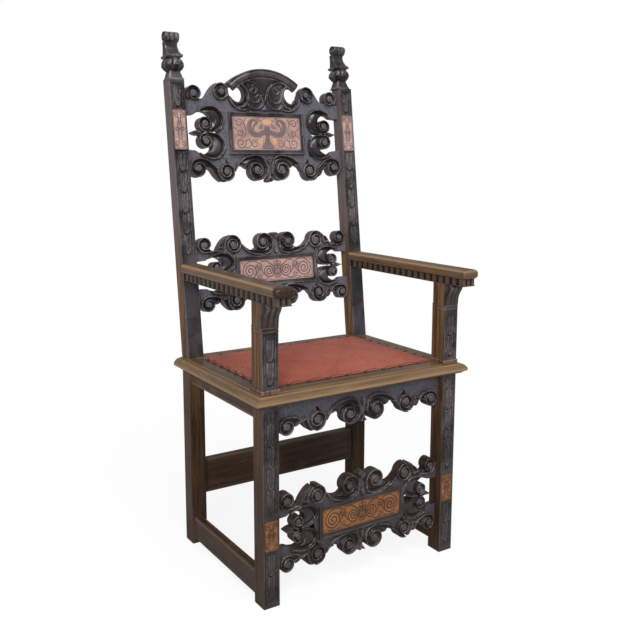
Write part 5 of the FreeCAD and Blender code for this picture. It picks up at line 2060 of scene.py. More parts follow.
@dataclass(frozen=True)
class ArmBoard:
    """Flat arm with a rounded front end, cut at the back to the post's rake."""

    side: Side
    end_darkening: float = 0.75
    corner_cut: float = 9.0
    edge: float = 4.5

    def outline(self, inset: float, height: float) -> np.ndarray:
        """Plan of the board at a height.

        Args:
            inset: how far the plan is drawn in from the widest one.
            height: height of the plan above the floor.

        Returns:
            The plan's points, with its middle at x 0.
        """
        name = self.side.node("arm_board")
        low, high = ends(name)
        half = (high.x - low.x) / 2 - inset
        front = low.y + inset
        rear = post_front(height)
        cut = self.corner_cut
        nose = [(half - cut * (1 - math.sin(turn)), front + cut * (1 - math.cos(turn)))
                for turn in np.linspace(0, math.pi / 2, 7)]
        sides = [(half, y) for y in np.linspace(front + cut + 8, rear, 9)]
        right = nose + sides
        left = [(-x, y) for x, y in reversed(right)]
        return np.array([(*point, height) for point in right + left])

    def build(self) -> bpy.types.Object:
        """Shapes the board.

        Returns:
            The piece.
        """
        name = self.side.node("arm_board")
        low, high = (spot.z for spot in ends(name))
        tall = high - low
        stops = ((0, 3.2, 0.3), (0.14, 0.8, 0.7), (0.24, 0, 0.25), (0.7, 0, 0.3),
                 (0.84, 1.2, 0.85), (0.95, 3.6, 0.6), (1.0, 6.0, 0.2), (1.0, 10.0, 0.0),
                 (1.0, 22.0, 0.0))
        rings = [self.outline(inset, low + share * tall - (0.01 if inset < 20 else 0))
                 for share, inset, _ in stops]
        count = len(rings[0])
        # The front end is darker, the left board's more than the right's, and loses its wear there.
        darkening = np.zeros(count)
        darkening[:7] = darkening[-7:] = self.end_darkening if self.side is Side.LEFT else 0.2 * self.end_darkening
        shell = loft(rings, {"wear": [np.full(count, rub) * (1 - darkening) for *_, rub in stops],
                             "grime": [darkening] * len(rings)})
        shell = shell.moved(LEG_CENTRE).on(self.side)
        return stand_in("shaped", name, shell, GOLDEN_OAK[Grain.BACKWARD], "worn_golden_oak")


class Unit(Enum):
    """Small shape that Geometry Nodes repeat."""

    REED = "GeometryNodeMeshCylinder"
    HEAD = "GeometryNodeMeshUVSphere"


@dataclass(frozen=True)
class Repeater:
    """Repeats one small shape on given places through a Geometry Nodes tree."""

    name: str
    unit: Unit
    half_width: float
    half_depth: float
    height: float
    finish: object
    spread: float
    seed: int
    facets: int = 18
    rows: int = 10

    def tree(self) -> bpy.types.NodeTree:
        """Builds the node tree with its named inputs.

        Returns:
            The tree.
        """
        tree = bpy.data.node_groups.new(self.name, "GeometryNodeTree")
        face = tree.interface
        face.new_socket("Geometry", in_out="INPUT", socket_type="NodeSocketGeometry")
        for label in ("Half Width", "Half Depth", "Height", "Spread"):
            face.new_socket(label, in_out="INPUT", socket_type="NodeSocketFloat")
        face.new_socket("Geometry", in_out="OUTPUT", socket_type="NodeSocketGeometry")
        made = {kind: tree.nodes.new(kind) for kind in (
            "NodeGroupInput", self.unit.value, "GeometryNodeTransform", "ShaderNodeCombineXYZ",
            "FunctionNodeRandomValue", "ShaderNodeMath", "GeometryNodeInstanceOnPoints",
            "GeometryNodeRealizeInstances", "GeometryNodeSetMaterial", "NodeGroupOutput")}
        source, shape, scaled, size, chance, low, placed, real, dressed, out = made.values()
        if self.unit is Unit.REED:
            shape.inputs["Vertices"].default_value = self.facets
            shape.inputs["Depth"].default_value = 1.0
        else:
            shape.inputs["Segments"].default_value = self.facets
            shape.inputs["Rings"].default_value = self.rows
        shape.inputs["Radius"].default_value = 1.0
        low.operation = "SUBTRACT"
        low.inputs[0].default_value = 1.0
        chance.inputs["Seed"].default_value = self.seed
        dressed.inputs["Material"].default_value = Palette.get(self.finish)
        for start, end in (
                (source.outputs["Half Width"], size.inputs["X"]),
                (source.outputs["Half Depth"], size.inputs["Y"]),
                (source.outputs["Height"], size.inputs["Z"]),
                (shape.outputs["Mesh"], scaled.inputs["Geometry"]),
                (size.outputs[0], scaled.inputs["Scale"]),
                (source.outputs["Spread"], low.inputs[1]),
                (low.outputs[0], chance.inputs[2]),
                (source.outputs["Geometry"], placed.inputs["Points"]),
                (scaled.outputs[0], placed.inputs["Instance"]),
                (chance.outputs[1], placed.inputs["Scale"]),
                (placed.outputs[0], real.inputs[0]),
                (real.outputs[0], dressed.inputs["Geometry"]),
                (dressed.outputs[0], out.inputs[0])):
            tree.links.new(start, end)
        chance.inputs[3].default_value = 1.0
        return tree

    def shell(self, places: np.ndarray) -> Shell:
        """Repeats the shape.

        Args:
            places: middles of the shapes, mm.

        Returns:
            All of them in one shell.
        """
        mesh = bpy.data.meshes.new(self.name)
        mesh.from_pydata([tuple(place * MM) for place in places], [], [])
        carrier = add_object(self.name, mesh)
        maker = carrier.modifiers.new(self.name, "NODES")
        maker.node_group = self.tree()
        sizes = {"Half Width": self.half_width * MM, "Half Depth": self.half_depth * MM,
                 "Height": self.height * MM, "Spread": self.spread}
        for item in maker.node_group.interface.items_tree:
            if item.in_out == "INPUT" and item.name in sizes:
                maker[item.identifier] = sizes[item.name]
        made = modified(carrier)
        made.calc_loop_triangles()
        faces = np.empty(3 * len(made.loop_triangles), dtype=np.int32)
        made.loop_triangles.foreach_get("vertices", faces)
        bpy.data.objects.remove(carrier)
        return Shell(mesh_points(made), faces.reshape(-1, 3))


@dataclass(frozen=True)
class ArmFrieze:
    """Bar under the arm board with upright reeds over a ground painted dark as shade."""

    side: Side
    pitch: float = 23.5
    front_pitch: float = 13.4
    reed: float = 4.2
    reed_length: float = 8.6
    sunk: float = 3.6
    raised: float = 3.5
    reed_gap: float = 1.6
    front_reed: float = 0.42
    fillet: float = 2.0
    fillet_inset: float = 0.6

    def build(self) -> bpy.types.Object:
        """Shapes the bar.

        Returns:
            The piece.
        """
        name = self.side.node("arm_frieze")
        low, high = corner(name) + Vector((0, 0, self.raised)), corner(name, True)
        half = LEG_WIDTH / 2
        rear = post_front(high.z)
        core = worn_bar(Along.Y, low.y + self.sunk, rear, box_corners(
            LEG_CENTRE - half + self.sunk, LEG_CENTRE + half - self.sunk, low.z, high.z), 0.8)
        # Painted shade: the sunk core behind the reeds is darkened.
        core.marks = {"grime": np.full(len(core.points), 0.9)}
        middle = (low.z + high.z) / 2
        tall = high.z - low.z - self.reed_gap
        sides = [(LEG_CENTRE + turn * (half - self.reed), y, middle)
                 for y in np.arange(low.y + self.reed_length, rear - self.reed, self.pitch)
                 for turn in (-1, 1)]
        front = [(LEG_CENTRE + shift * self.front_pitch, low.y + self.reed, middle)
                 for shift in (-1, 0, 1)]
        reeds = join(
            Repeater("side_reeds", Unit.REED, self.reed, self.reed_length, tall,
                     DARK_OAK[Grain.UPRIGHT], 0.05, 7).shell(np.array(sides)),
            Repeater("end_reeds", Unit.REED, self.front_reed * self.front_pitch, self.reed, tall,
                     DARK_OAK[Grain.UPRIGHT], 0.04, 3).shell(np.array(front)))
        reach = np.maximum(np.abs(reeds.points[:, 0] - LEG_CENTRE) - half + self.reed,
                           low.y + self.reed - reeds.points[:, 1])
        reeds.marks = {"wear": 0.55 * ramp(reach, 0.5 * self.reed, self.reed)}
        inset = half - self.fillet_inset
        fillets = [worn_bar(Along.Y, low.y + self.fillet_inset, rear, box_corners(
            LEG_CENTRE - inset, LEG_CENTRE + inset, foot, foot + self.fillet), 0.5)
            for foot in (low.z, high.z - self.fillet)]
        for fillet in fillets:
            fillet.marks["wear"] = 0.35 * fillet.marks["wear"]
        shell = join(core, reeds, *fillets).on(self.side)
        return stand_in("reeded", name, shell, DARK_OAK[Grain.BACKWARD], "worn_golden_oak")


@dataclass(frozen=True)
class SeatFrame:
    """Moulded frame of the seat with mitred front corners."""

    side_board: float = 73.0
    thickness: float = 26.0
    broad: float = 40.0
    flat_start: float = 26.0
    mitre_run: float = 80.0
    gap: float = 0.15
    nose: tuple[tuple[float, float, float], ...] = (
        (20, 26, 0.7), (20, 24.4, 0.2), (14.6, 24.4, 0.3), (12.0, 23.6, 0.55), (7.6, 21.4, 0.25),
        (3.8, 18.0, 0.25), (1.2, 14.0, 0.4), (0, 10.2, 0.8), (0.4, 8.0, 0.85), (2.0, 6.0, 0.5),
        (5.0, 4.9, 0.15), (8.2, 3.2, 0.05), (11.0, 0, 0.3))

    def section(self, width: float) -> tuple[np.ndarray, np.ndarray]:
        """Section of a board, measured in from its outer edge and up.

        Args:
            width: width of the board.

        Returns:
            The points and how worn each is.
        """
        top = self.thickness
        flat = [(width - 8, top, 0.1), (self.flat_start, top, 0.1)] if width > self.broad else []
        rows = [(width, 0, 0), (width, top, 0.3), *flat, *self.nose]
        table = np.array(rows, dtype=float)
        return table[:, :2], table[:, 2]

    def board(self, runs: list[tuple[float, float]], width: float, front: bool) -> Shell:
        """One board.

        Args:
            runs: for each ring, its place along the board and how much the mitre moves it.
            width: width of the board.
            front: True for the front board, False for the right one.

        Returns:
            The shell.
        """
        low, high = ends("seat_frame_front")
        section, wear = self.section(width)
        rings = []
        for at, mitre in runs:
            along = at + mitre * section[:, 0]
            if front:
                rings.append(np.column_stack([along, low.y + section[:, 0],
                                              low.z + section[:, 1]]))
            else:
                rings.append(np.column_stack([high.x - section[:, 0], along,
                                              low.z + section[:, 1]]))
        return loft(rings, {"wear": [wear] * len(rings)})

    def build(self) -> None:
        """Shapes the four boards."""
        low, high = ends("seat_frame_front")
        gap, run = self.gap, self.mitre_run
        front = self.board([(low.x + gap, 1), (low.x + run, 0), (-70, 0), (70, 0),
                            (high.x - run, 0), (high.x - gap, -1)], self.side_board, True)
        stand_in("moulded", "seat_frame_front", front, GOLDEN_OAK[Grain.ACROSS],
                 "worn_golden_oak")
        rear = corner("seat_frame_right", True).y
        post = corner("rear_post_right").y
        inner = corner("seat_frame_rear").y
        outside = HALF_CHAIR + gap
        for side in Side:
            name = side.node("seat_frame")
            main = self.board([(low.y + gap, 1), (low.y + run, 0), (inner - 90, 0), (inner, 0)],
                              self.side_board, False)
            heel = self.board([(inner, 0), (post - gap, 0)], high.x - INNER_FACE - gap, False)
            strip = self.board([(post - gap, 0), (rear - 0.6, 0)], high.x - outside, False)
            shell = join(main, heel, strip).on(side)
            stand_in("moulded", name, shell, GOLDEN_OAK[Grain.BACKWARD], "worn_golden_oak")
        start, end = ends("seat_frame_rear")
        bar = worn_bar(Along.X, start.x, end.x, box_corners(start.y, end.y, start.z, end.z), 1.5)
        stand_in("moulded", "seat_frame_rear", bar, GOLDEN_OAK[Grain.ACROSS], "worn_golden_oak")


@dataclass(frozen=True)
class ArchMoulding:
    """Segmental moulding over the crest: fillet, broad rounded band, fillet."""

    centre: float = 563.7
    left_end: float = -41.0
    right_end: float = 38.9
    # Section points: radius, depth behind the face and rim mark; the rim mark gives wear and a
    # painted highlight on the fillets and a painted sheen on the band.
    section: tuple[tuple[float, float, float], ...] = (
        (139.0, 18.0, 0.0), (139.0, 9.4, 0.6), (139.7, 8.6, 0.8), (142.4, 8.6, 0.6),
        (143.0, 9.6, 0.0), (143.8, 8.2, 0.1), (145.4, 6.0, 0.35), (148.2, 4.5, 0.25),
        (151.5, 4.0, 0.2), (154.8, 4.5, 0.25), (157.6, 6.0, 0.35), (159.2, 8.2, 0.1),
        (160.0, 9.2, 0.0), (160.6, 7.2, 0.6), (163.2, 7.2, 0.8), (164.0, 8.0, 0.9),
        (164.0, 33.6, 0.5), (162.8, 35.0, 0.3), (150.4, 35.0, 0.0), (150.4, 18.0, 0.0))

    def build(self) -> bpy.types.Object:
        """Bends the moulding.

        Returns:
            The piece.
        """
        table = np.array(self.section)
        rings = []
        for turn in np.radians(np.linspace(self.left_end, self.right_end, 65)):
            rings.append(BACK_FACE.place(table[:, 0] * math.sin(turn), table[:, 1],
                                         self.centre + table[:, 0] * math.cos(turn)))
        # Cove mark: painted shade in the two grooves.
        groove = np.isin(table[:, 0], (143.0, 160.0)).astype(float)
        shell = loft(rings, {"rim": [table[:, 2]] * len(rings), "cove": [groove] * len(rings)})
        return ebonised("bent", "crest_arch_moulding", shell)


@dataclass(frozen=True)
class PlainRails:
    """Rails and stretchers without carving."""

    soft: float = 1.6
    stretcher_drop: float = 3.0

    def build(self) -> None:
        """Shapes the six rails."""
        rear_leg = corner("front_leg_right", True).y
        post = corner("rear_post_right").y
        for node in ("rear_seat_rail", "rear_stretcher"):
            low, high = ends(node)
            top = high.z - (self.stretcher_drop if node == "rear_stretcher" else 0.0)
            bar = worn_bar(Along.X, -INNER_FACE, INNER_FACE,
                           box_corners(low.y, high.y, low.z, top), self.soft)
            stand_in("planed", node, bar, BROWN_OAK[Grain.ACROSS], "dark_carved_oak")
        for side in Side:
            for group in ("side_seat_rail", "side_stretcher"):
                node = side.node(group)
                low, high = ends(node)
                bar = worn_bar(Along.Y, rear_leg, post,
                               box_corners(low.x, high.x, low.z, high.z), self.soft)
                stand_in("planed", node, bar, BROWN_OAK[Grain.BACKWARD], "dark_carved_oak")


class Tint(Enum):
    """Tint of a shape: mark, softness of its edge, strength and width of the line round it."""

    LEAF = ("leaf", (-0.4, 0.8), 0.7, (0.2, 0.8))
    SHADE = ("smoke", (-0.8, 1.0), 0.6, (0.3, 1.0))


class Engraving:
    """Lines, leaves and smoked fields scratched into a plaque."""

    small_curl: float = 16.0

    def __init__(self, width: float, height: float, step: float = 0.7) -> None:
        """Lays out the plaque's grid, its middle at 0.

        Args:
            width: its width.
            height: its height.
            step: pitch of the grid.
        """
        self.board = Carving(width / 2, -height / 2, height / 2, step)
        self.board.add(self.board.box(-FAR, width / 2, -height / 2, height / 2))
        shape = self.board.x.shape
        self.board.marks = {key: np.zeros(shape) for key in ("line", "leaf", "smoke")}

    def mark(self, key: str, share: np.ndarray) -> None:
        """Adds to a mark."""
        self.board.marks[key] = np.maximum(self.board.marks[key], share)

    def lines(self, lines: list[np.ndarray], width: float) -> None:
        """Scratches lines.

        Args:
            lines: the lines.
            width: their width.
        """
        gap = nearness(self.board, lines)
        self.mark("line", 1 - ramp(gap, width * 0.25, width * 0.75))

    def tint(self, kind: Tint, points: Pairs, strength: float) -> None:
        """Tints a shape and scratches its edge.

        Args:
            kind: the tint.
            points: the shape's outline.
            strength: how strong the tint is, 0 to 1.
        """
        key, soft, scratch, line = kind.value
        edge = smooth_line(list(points), 5, True)
        self.mark(key, strength * ramp(self.board.polygon(edge), *soft))
        gap = self.board.distance(np.vstack([edge, edge[:1]]))
        self.mark("line", scratch * (1 - ramp(gap, *line)))

    def border(self, x: float, v: float, width: float) -> None:
        """Scratches the border: upright lines at x, level ones at v and -v.

        Args:
            x: distance of the upright lines from the middle.
            v: distance of the level lines from the middle.
            width: width of the lines.
        """
        self.lines([np.array([(x, -FAR), (x, FAR)]), np.array([(-9, v), (FAR, v)]),
                    np.array([(-9, -v), (FAR, -v)])], width)

    def strokes(self, lines: tuple[Pairs, ...], width: float) -> None:
        """Scratches smooth lines through the points given."""
        self.lines([smooth_line(list(line)) for line in lines], width)

    def curls(self, curls: tuple[tuple[float, ...], ...], width: float) -> None:
        """Scratches spirals, each given as for curl."""
        self.lines([self.curl(*curl) for curl in curls], width)

    def smoke(self, x: float, v: float, wide: float, tall: float, strength: float) -> None:
        """Darkens a soft oval."""
        away = np.hypot((self.board.x - x) / wide, (self.board.v - v) / tall)
        self.mark("smoke", strength * (1 - ramp(away, 0.35, 1.0)))

    def curl(self, x: float, v: float, radius: float, start: float, hand: int) -> np.ndarray:
        """Spiral line that winds in from a start angle in degrees.

        Args:
            x: its middle, across.
            v: its middle, up.
            radius: its outer radius.
            start: the angle it starts at.
            hand: 1 for anticlockwise, -1 for clockwise.

        Returns:
            The line's points.
        """
        if radius < self.small_curl:
            radii = ((0, radius), (0.5, radius * 0.8), (1.0, radius * 0.48), (1.3, radius * 0.22))
        else:
            radii = ((0, radius), (0.5, radius * 0.86), (1.0, radius * 0.66),
                     (1.5, radius * 0.46), (2.0, radius * 0.28), (2.4, radius * 0.14))
        return Volute(x, v, start, hand, radii, 0).rim()

    def shell(self, face: Face, base: float, thickness: float) -> Shell:
        """Skin of the plaque.

        Args:
            face: plane of its front.
            base: height of its middle along the face.
            thickness: its thickness.

        Returns:
            The shell.
        """
        self.board.depth = 0.25 * self.board.marks["line"]
        return self.board.shell(face, base, thickness)


def sunk_face(face: Face, depth: float) -> Face:
    """Plane parallel to a face and behind it.

    Args:
        face: the face.
        depth: how far behind.

    Returns:
        The plane.
    """
    lean = math.radians(face.rake)
    return Face(face.y + depth * math.cos(lean), face.foot - depth * math.sin(lean), face.rake)


@dataclass(frozen=True)
class Plaques:
    """The veneered plaques of back, stretcher, posts and legs."""

    thickness: float = 2.4
    small_thickness: float = 2.2
    crest_size: tuple[float, float] = (202.4, 86.4)
    strip_size: tuple[float, float] = (221.4, 57.4)
    small_width: float = 33.2
    crest_sunk: float = 3.6
    strip_sunk: float = 3.4
    small_sunk: float = 0.3

    def crest(self) -> None:
        """Cuts the crest's plaque: corner curls, side scrolls and a smoked middle."""
        art = Engraving(*self.crest_size)
        for kind, strength, points in (
                (Tint.SHADE, 0.9, ((-8, 17), (8, 17), (7, 6), (6, -12), (11, -26), (17, -39),
                                   (-17, -39), (-11, -26), (-6, -12))),
                (Tint.SHADE, 0.9, ((-9, 9), (14, 8), (26, 3), (36, 4), (40, 9), (37, 18),
                                   (29, 24), (27, 32), (38, 37), (50, 34), (58, 24), (58, 8),
                                   (50, -4), (38, -10), (22, -9), (8, -4), (-9, -4))),
                (Tint.SHADE, 0.7, ((14, 24), (24, 18), (24, 12), (14, 14))),
                (Tint.LEAF, 0.9, ((-8, 37), (8, 37), (15, 31), (10, 24), (0, 21), (-8, 24))),
                (Tint.LEAF, 0.8, ((33, 31), (42, 29), (46, 20), (44, 12), (40, 22))),
                (Tint.LEAF, 0.7, ((12, -10), (21, -12), (29, -14), (27, -26), (17, -31),
                                  (14, -20)))):
            art.tint(kind, points, strength)
        art.smoke(66, 4, 22, 20, 0.35)
        art.curls(((79, -26, 14, 150, 1), (39, -27, 10, 80, -1), (81, 26, 11, 200, -1),
                   (81, 1, 9, 120, 1)), 2.0)
        art.strokes((
            ((66, -22), (58, -16), (52, -20), (50, -30), (58, -37), (70, -38)),
            ((62, 38), (68, 28), (64, 14), (64, 0), (70, -8), (80, -12)),
            ((93, 30), (96, 38)), ((90, 8), (97, 14)), ((91, -6), (97, -12)),
            ((30, -16), (34, -18), (38, -17)), ((18, 30), (24, 36), (32, 39))), 1.8)
        art.strokes((
            ((10, 3), (24, -3), (38, -3), (49, 6), (51, 20), (46, 29)),
            ((44, -7), (46, 2), (52, 4)), ((34, -8), (36, 0), (40, 2)), ((52, 26), (44, 33)),
            ((3, 12), (3, -30)), ((-3, -16), (3, -18)), ((-4, -26), (4, -28))), 1.0)
        art.border(99, 41, 1.0)
        plane = sunk_face(BACK_FACE, CrestRail.setback + self.crest_sunk)
        shell = art.shell(plane, CrestRail.middle, self.thickness).moved(CrestRail.drift)
        stand_in("engraved", "crest_plaque", shell, TAN, "tan_inlay")

    def strip(self, node: str, slot: str, rail: StripRail, finish: object) -> None:
        """Cuts a long plaque with a running scroll.

        Args:
            node: CAD node that it stands for.
            slot: material slot.
            rail: the rail that it is let into.
            finish: finish of the plaque.
        """
        art = Engraving(*self.strip_size)
        art.smoke(0, 0, 26, 24, 0.7)
        art.smoke(58, 8, 18, 16, 0.5)
        art.curls(((82, 0, 22, 60, -1), (26, -2, 18, 110, 1)), 2.6)
        art.curls(((53, 13, 9, 210, 1), (54, -15, 7, 20, -1), (6, 17, 7, 300, -1),
                   (4, -16, 6, 60, 1)), 2.0)
        art.strokes((
            ((92, 20), (82, 25), (68, 25), (58, 22)), ((64, -10), (60, -4), (56, 4)),
            ((20, 15), (30, 23), (42, 24), (48, 21)), ((42, -10), (46, -2), (50, 4)),
            ((102, 20), (106, 24)), ((104, -20), (106, -24)), ((98, -20), (92, -24), (80, -25)),
            ((12, -10), (9, 0), (0, 4)), ((30, -21), (40, -24), (50, -22)),
            ((62, -22), (70, -24)), ((0, 6), (0, 25)), ((60, 16), (64, 10))), 2.2)
        art.border(108.6, 26.4, 1.2)
        plane = sunk_face(rail.face, rail.setback + self.strip_sunk)
        shell = art.shell(plane, rail.middle, self.thickness).moved(rail.drift)
        stand_in("engraved", node, shell, finish, slot)

    def small(self, node: str, slot: str, face: Face, low: float, high: float,
              finish: object) -> None:
        """Cuts the pair of small upright plaques.

        Args:
            node: CAD node of each, without its side.
            slot: material slot.
            face: plane of the timber.
            low: foot of the plaque along the face.
            high: head of the plaque.
            finish: finish of the plaque.
        """
        height = high - low
        art = Engraving(self.small_width, height)
        top = height / 2
        art.smoke(0, 0, 14, top * 0.8, 0.45)
        art.curls(((7.5, top - 14, 6, 90, -1), (7.5, -top + 14, 6, 270, 1), (7, 2, 5, 200, 1)),
                  1.6)
        art.strokes((((2, top - 20), (6, 8), (1, 2), (5, -6), (3, -top + 22)),
                     ((0, top - 6), (5, top - 10), (0, 10)),
                     ((14, top - 10), (10, top - 5), (3, top - 4)),
                     ((14, -top + 10), (10, -top + 5), (3, -top + 4))), 1.6)
        art.border(15, top - 1.6, 1.0)
        shell = art.shell(sunk_face(face, self.small_sunk), (low + high) / 2, self.small_thickness)
        for side in Side:
            name = side.node(node)
            placed = shell.moved(LEG_CENTRE).on(side)
            stand_in("engraved", name, placed, finish, slot)

    def build(self) -> None:
        """Cuts all the plaques."""
        self.crest()
        self.strip("lower_back_plaque", "tan_inlay", LOWER_BACK, TAN)
        self.strip("front_stretcher_plaque", "orange_inlay", STRETCHER, ORANGE)
        self.small("post_plaque", "tan_inlay", BACK_FACE, 516.8, 613.2, TAN)
        self.small("leg_plaque", "orange_inlay", LEG_FACE, 133.3, 200.7, ORANGE)


@dataclass(frozen=True)
class SeatPad:
    """Stuffed seat under a woven cover, tacked round its edge."""

    crown: float = 11.5
    inset: float = 3.0
    edge: float = 2.6
    voxel: float = 6.0
    pressure: float = 4.0
    stiffness: float = 25.0
    bending: float = 2.0
    quality: int = 5
    frames: int = 20
    cap: float = 8.0
    tack_front: int = 10
    tack_side: int = 8
    dimple: float = 2.2
    press_reach: float = 8.0
    pull: float = 1.8
    pull_reach: float = 22.0
    pull_fade: float = 16.0
    quick_rise: float = 5.0
    facets: int = 160
    squareness: float = 0.12
    clearance: float = 0.8

    def tack_places(self) -> np.ndarray:
        """Places of the tacks in plan, mm.

        Returns:
            n by 2 places.
        """
        low, high = ends("seat_cover")
        x = high.x - TACK_EDGE
        front, rear = low.y + TACK_EDGE, high.y - TACK_EDGE
        places = [(at, y) for y in (front, rear) for at in np.linspace(-x, x, self.tack_front)]
        inner = np.linspace(front, rear, self.tack_side + 2)[1:-1]
        return np.array(places + [(side * x, y) for side in (-1, 1) for y in inner])

    def blank(self) -> bpy.types.Object:
        """Low crowned pad that the simulation starts from.

        Returns:
            The object.
        """
        low, high = ends("seat_cover")
        rings = []
        middle = (low.y + high.y) / 2
        deep, wide = (high.y - low.y) / 2 - self.clearance, high.x - self.clearance
        turn = full_turn(self.facets)
        across, along = (np.sign(wave) * np.abs(wave) ** self.squareness
                         for wave in (np.cos(turn), np.sin(turn)))
        for share in (1.0, 1.0, 0.97, 0.9, 0.8, 0.66, 0.5, 0.3, 0.1):
            rise = self.edge + self.crown * (1 - share ** 3) if rings else 0.0
            rings.append(np.column_stack([wide * share * across, middle + deep * share * along,
                                          np.full(self.facets, low.z + 0.2 + rise)]))
        return shell_piece("stuffed_seat", loft(rings), COVER, 180.0)

    def build(self) -> bpy.types.Object:
        """Stuffs the seat by a cloth simulation and draws the tacks in.

        Returns:
            The piece.
        """
        piece = self.blank()
        mesh = piece.data
        bpy.context.view_layer.objects.active = piece
        remesh = piece.modifiers.new("remesh", "REMESH")
        remesh.mode = "VOXEL"
        remesh.voxel_size = self.voxel * MM
        piece.data = modified(piece)
        piece.modifiers.clear()
        bpy.data.meshes.remove(mesh)
        mesh = piece.data
        start = mesh_points(mesh)
        low, high = ends("seat_cover")
        border = np.minimum(high.x - np.abs(start[:, 0]),
                            np.minimum(start[:, 1] - low.y, high.y - start[:, 1]))
        held = (start[:, 2] < low.z + 2.0) | (border < 7)
        group = piece.vertex_groups.new(name="held")
        group.add([int(index) for index in np.flatnonzero(held)], 1.0, "REPLACE")
        self.inflate(piece, group.name)
        points = mesh_points(piece.data)
        count = min(len(points), len(start))
        move = points[:count] - start[:count]
        size = np.linalg.norm(move, axis=1, keepdims=True)
        points = start[:count] + move * np.minimum(1, self.cap / np.maximum(size, CLOSE))
        points = self.draw_tacks(points, border[:count], low.z)
        piece.data.vertices.foreach_set("co", (points * MM).ravel())
        piece.data.update()
        finer = piece.modifiers.new("finer", "SUBSURF")
        finer.levels = finer.render_levels = 1
        piece.data = modified(piece)
        piece.modifiers.clear()
        piece.vertex_groups.clear()
        piece.data.materials.clear()
        piece.data.materials.append(Palette.get(COVER))
        piece.data.shade_smooth()
        settle(piece, "red_cover", "seat_cover", "seat_stuffing")
        return piece

    def inflate(self, piece: bpy.types.Object, held: str) -> None:
        """Runs the cloth simulation and keeps its result.

        Args:
            piece: the remeshed pad.
            held: name of the group of points that stay where they are.
        """
        cloth = piece.modifiers.new("cloth", "CLOTH")
        settings = cloth.settings
        settings.use_pressure = True
        settings.uniform_pressure_force = self.pressure
        settings.effector_weights.gravity = 0.0
        settings.vertex_group_mass = held
        settings.tension_stiffness = self.stiffness
        settings.compression_stiffness = self.stiffness
        settings.bending_stiffness = self.bending
        settings.quality = self.quality
        cloth.collision_settings.use_collision = False
        cloth.point_cache.frame_start = 1
        cloth.point_cache.frame_end = self.frames
        scene = bpy.context.scene
        for number in range(1, self.frames + 1):
            scene.frame_set(number)
        shaped = modified(piece)
        piece.modifiers.clear()
        piece.data = shaped
        scene.frame_set(1)

    def draw_tacks(self, points: np.ndarray, border: np.ndarray, floor: float) -> np.ndarray:
        """Presses the cover down under the tacks and lets it rise between them.

        Args:
            points: points of the pad, mm.
            border: distance of each from the pad's edge.
            floor: height of the seat frame's top.

        Returns:
            The points, pressed.
        """
        places = self.tack_places()
        gap = np.full(len(points), FAR)
        for x, y in places:
            gap = np.minimum(gap, np.hypot(points[:, 0] - x, points[:, 1] - y))
        above = points[:, 2] > floor + 1.5
        press = np.exp(-(gap / self.press_reach) ** 2) * self.dimple
        pull = (self.pull * np.exp(-(gap / self.pull_reach) ** 2)
                * np.exp(-np.clip(border - 6, 0, None) / self.pull_fade))
        result = points.copy()
        result[:, 2] -= np.where(above, np.minimum(press + pull,
                                                   np.maximum(points[:, 2] - floor - 1.0, 0)), 0)
        return result


@dataclass(frozen=True)
class Tacks:
    """Round-headed tacks along the pad's edge."""

    radius: float = 4.4
    height: float = 2.6
    lift: float = 1.6

    def build(self, pad: SeatPad) -> bpy.types.Object:
        """Drives the tacks.

        Args:
            pad: the pad that they hold.

        Returns:
            The piece.
        """
        plan = pad.tack_places()
        floor = corner("seat_cover").z
        places = np.column_stack([plan, np.full(len(plan), floor + self.lift)])
        shell = Repeater("tack_heads", Unit.HEAD, self.radius, self.radius, self.height, IRON,
                         0.1, 5).shell(places)
        return stand_in("driven", "seat_tacks", shell, IRON, "dark_iron", 60.0)


@dataclass(frozen=True)
class Upholstery:
    """CAD pieces under the pad that keep their shape and take a finish."""

    def dress(self) -> None:
        """Gives the webbing and the base cloth their weave."""
        for node, finish in (("seat_webbing", JUTE), ("seat_base_cloth", HESSIAN)):
            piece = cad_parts[node]
            piece.data.materials.clear()
            piece.data.materials.append(Palette.get(finish))
            log.info("%s: dressed in %s", node, finish.name)


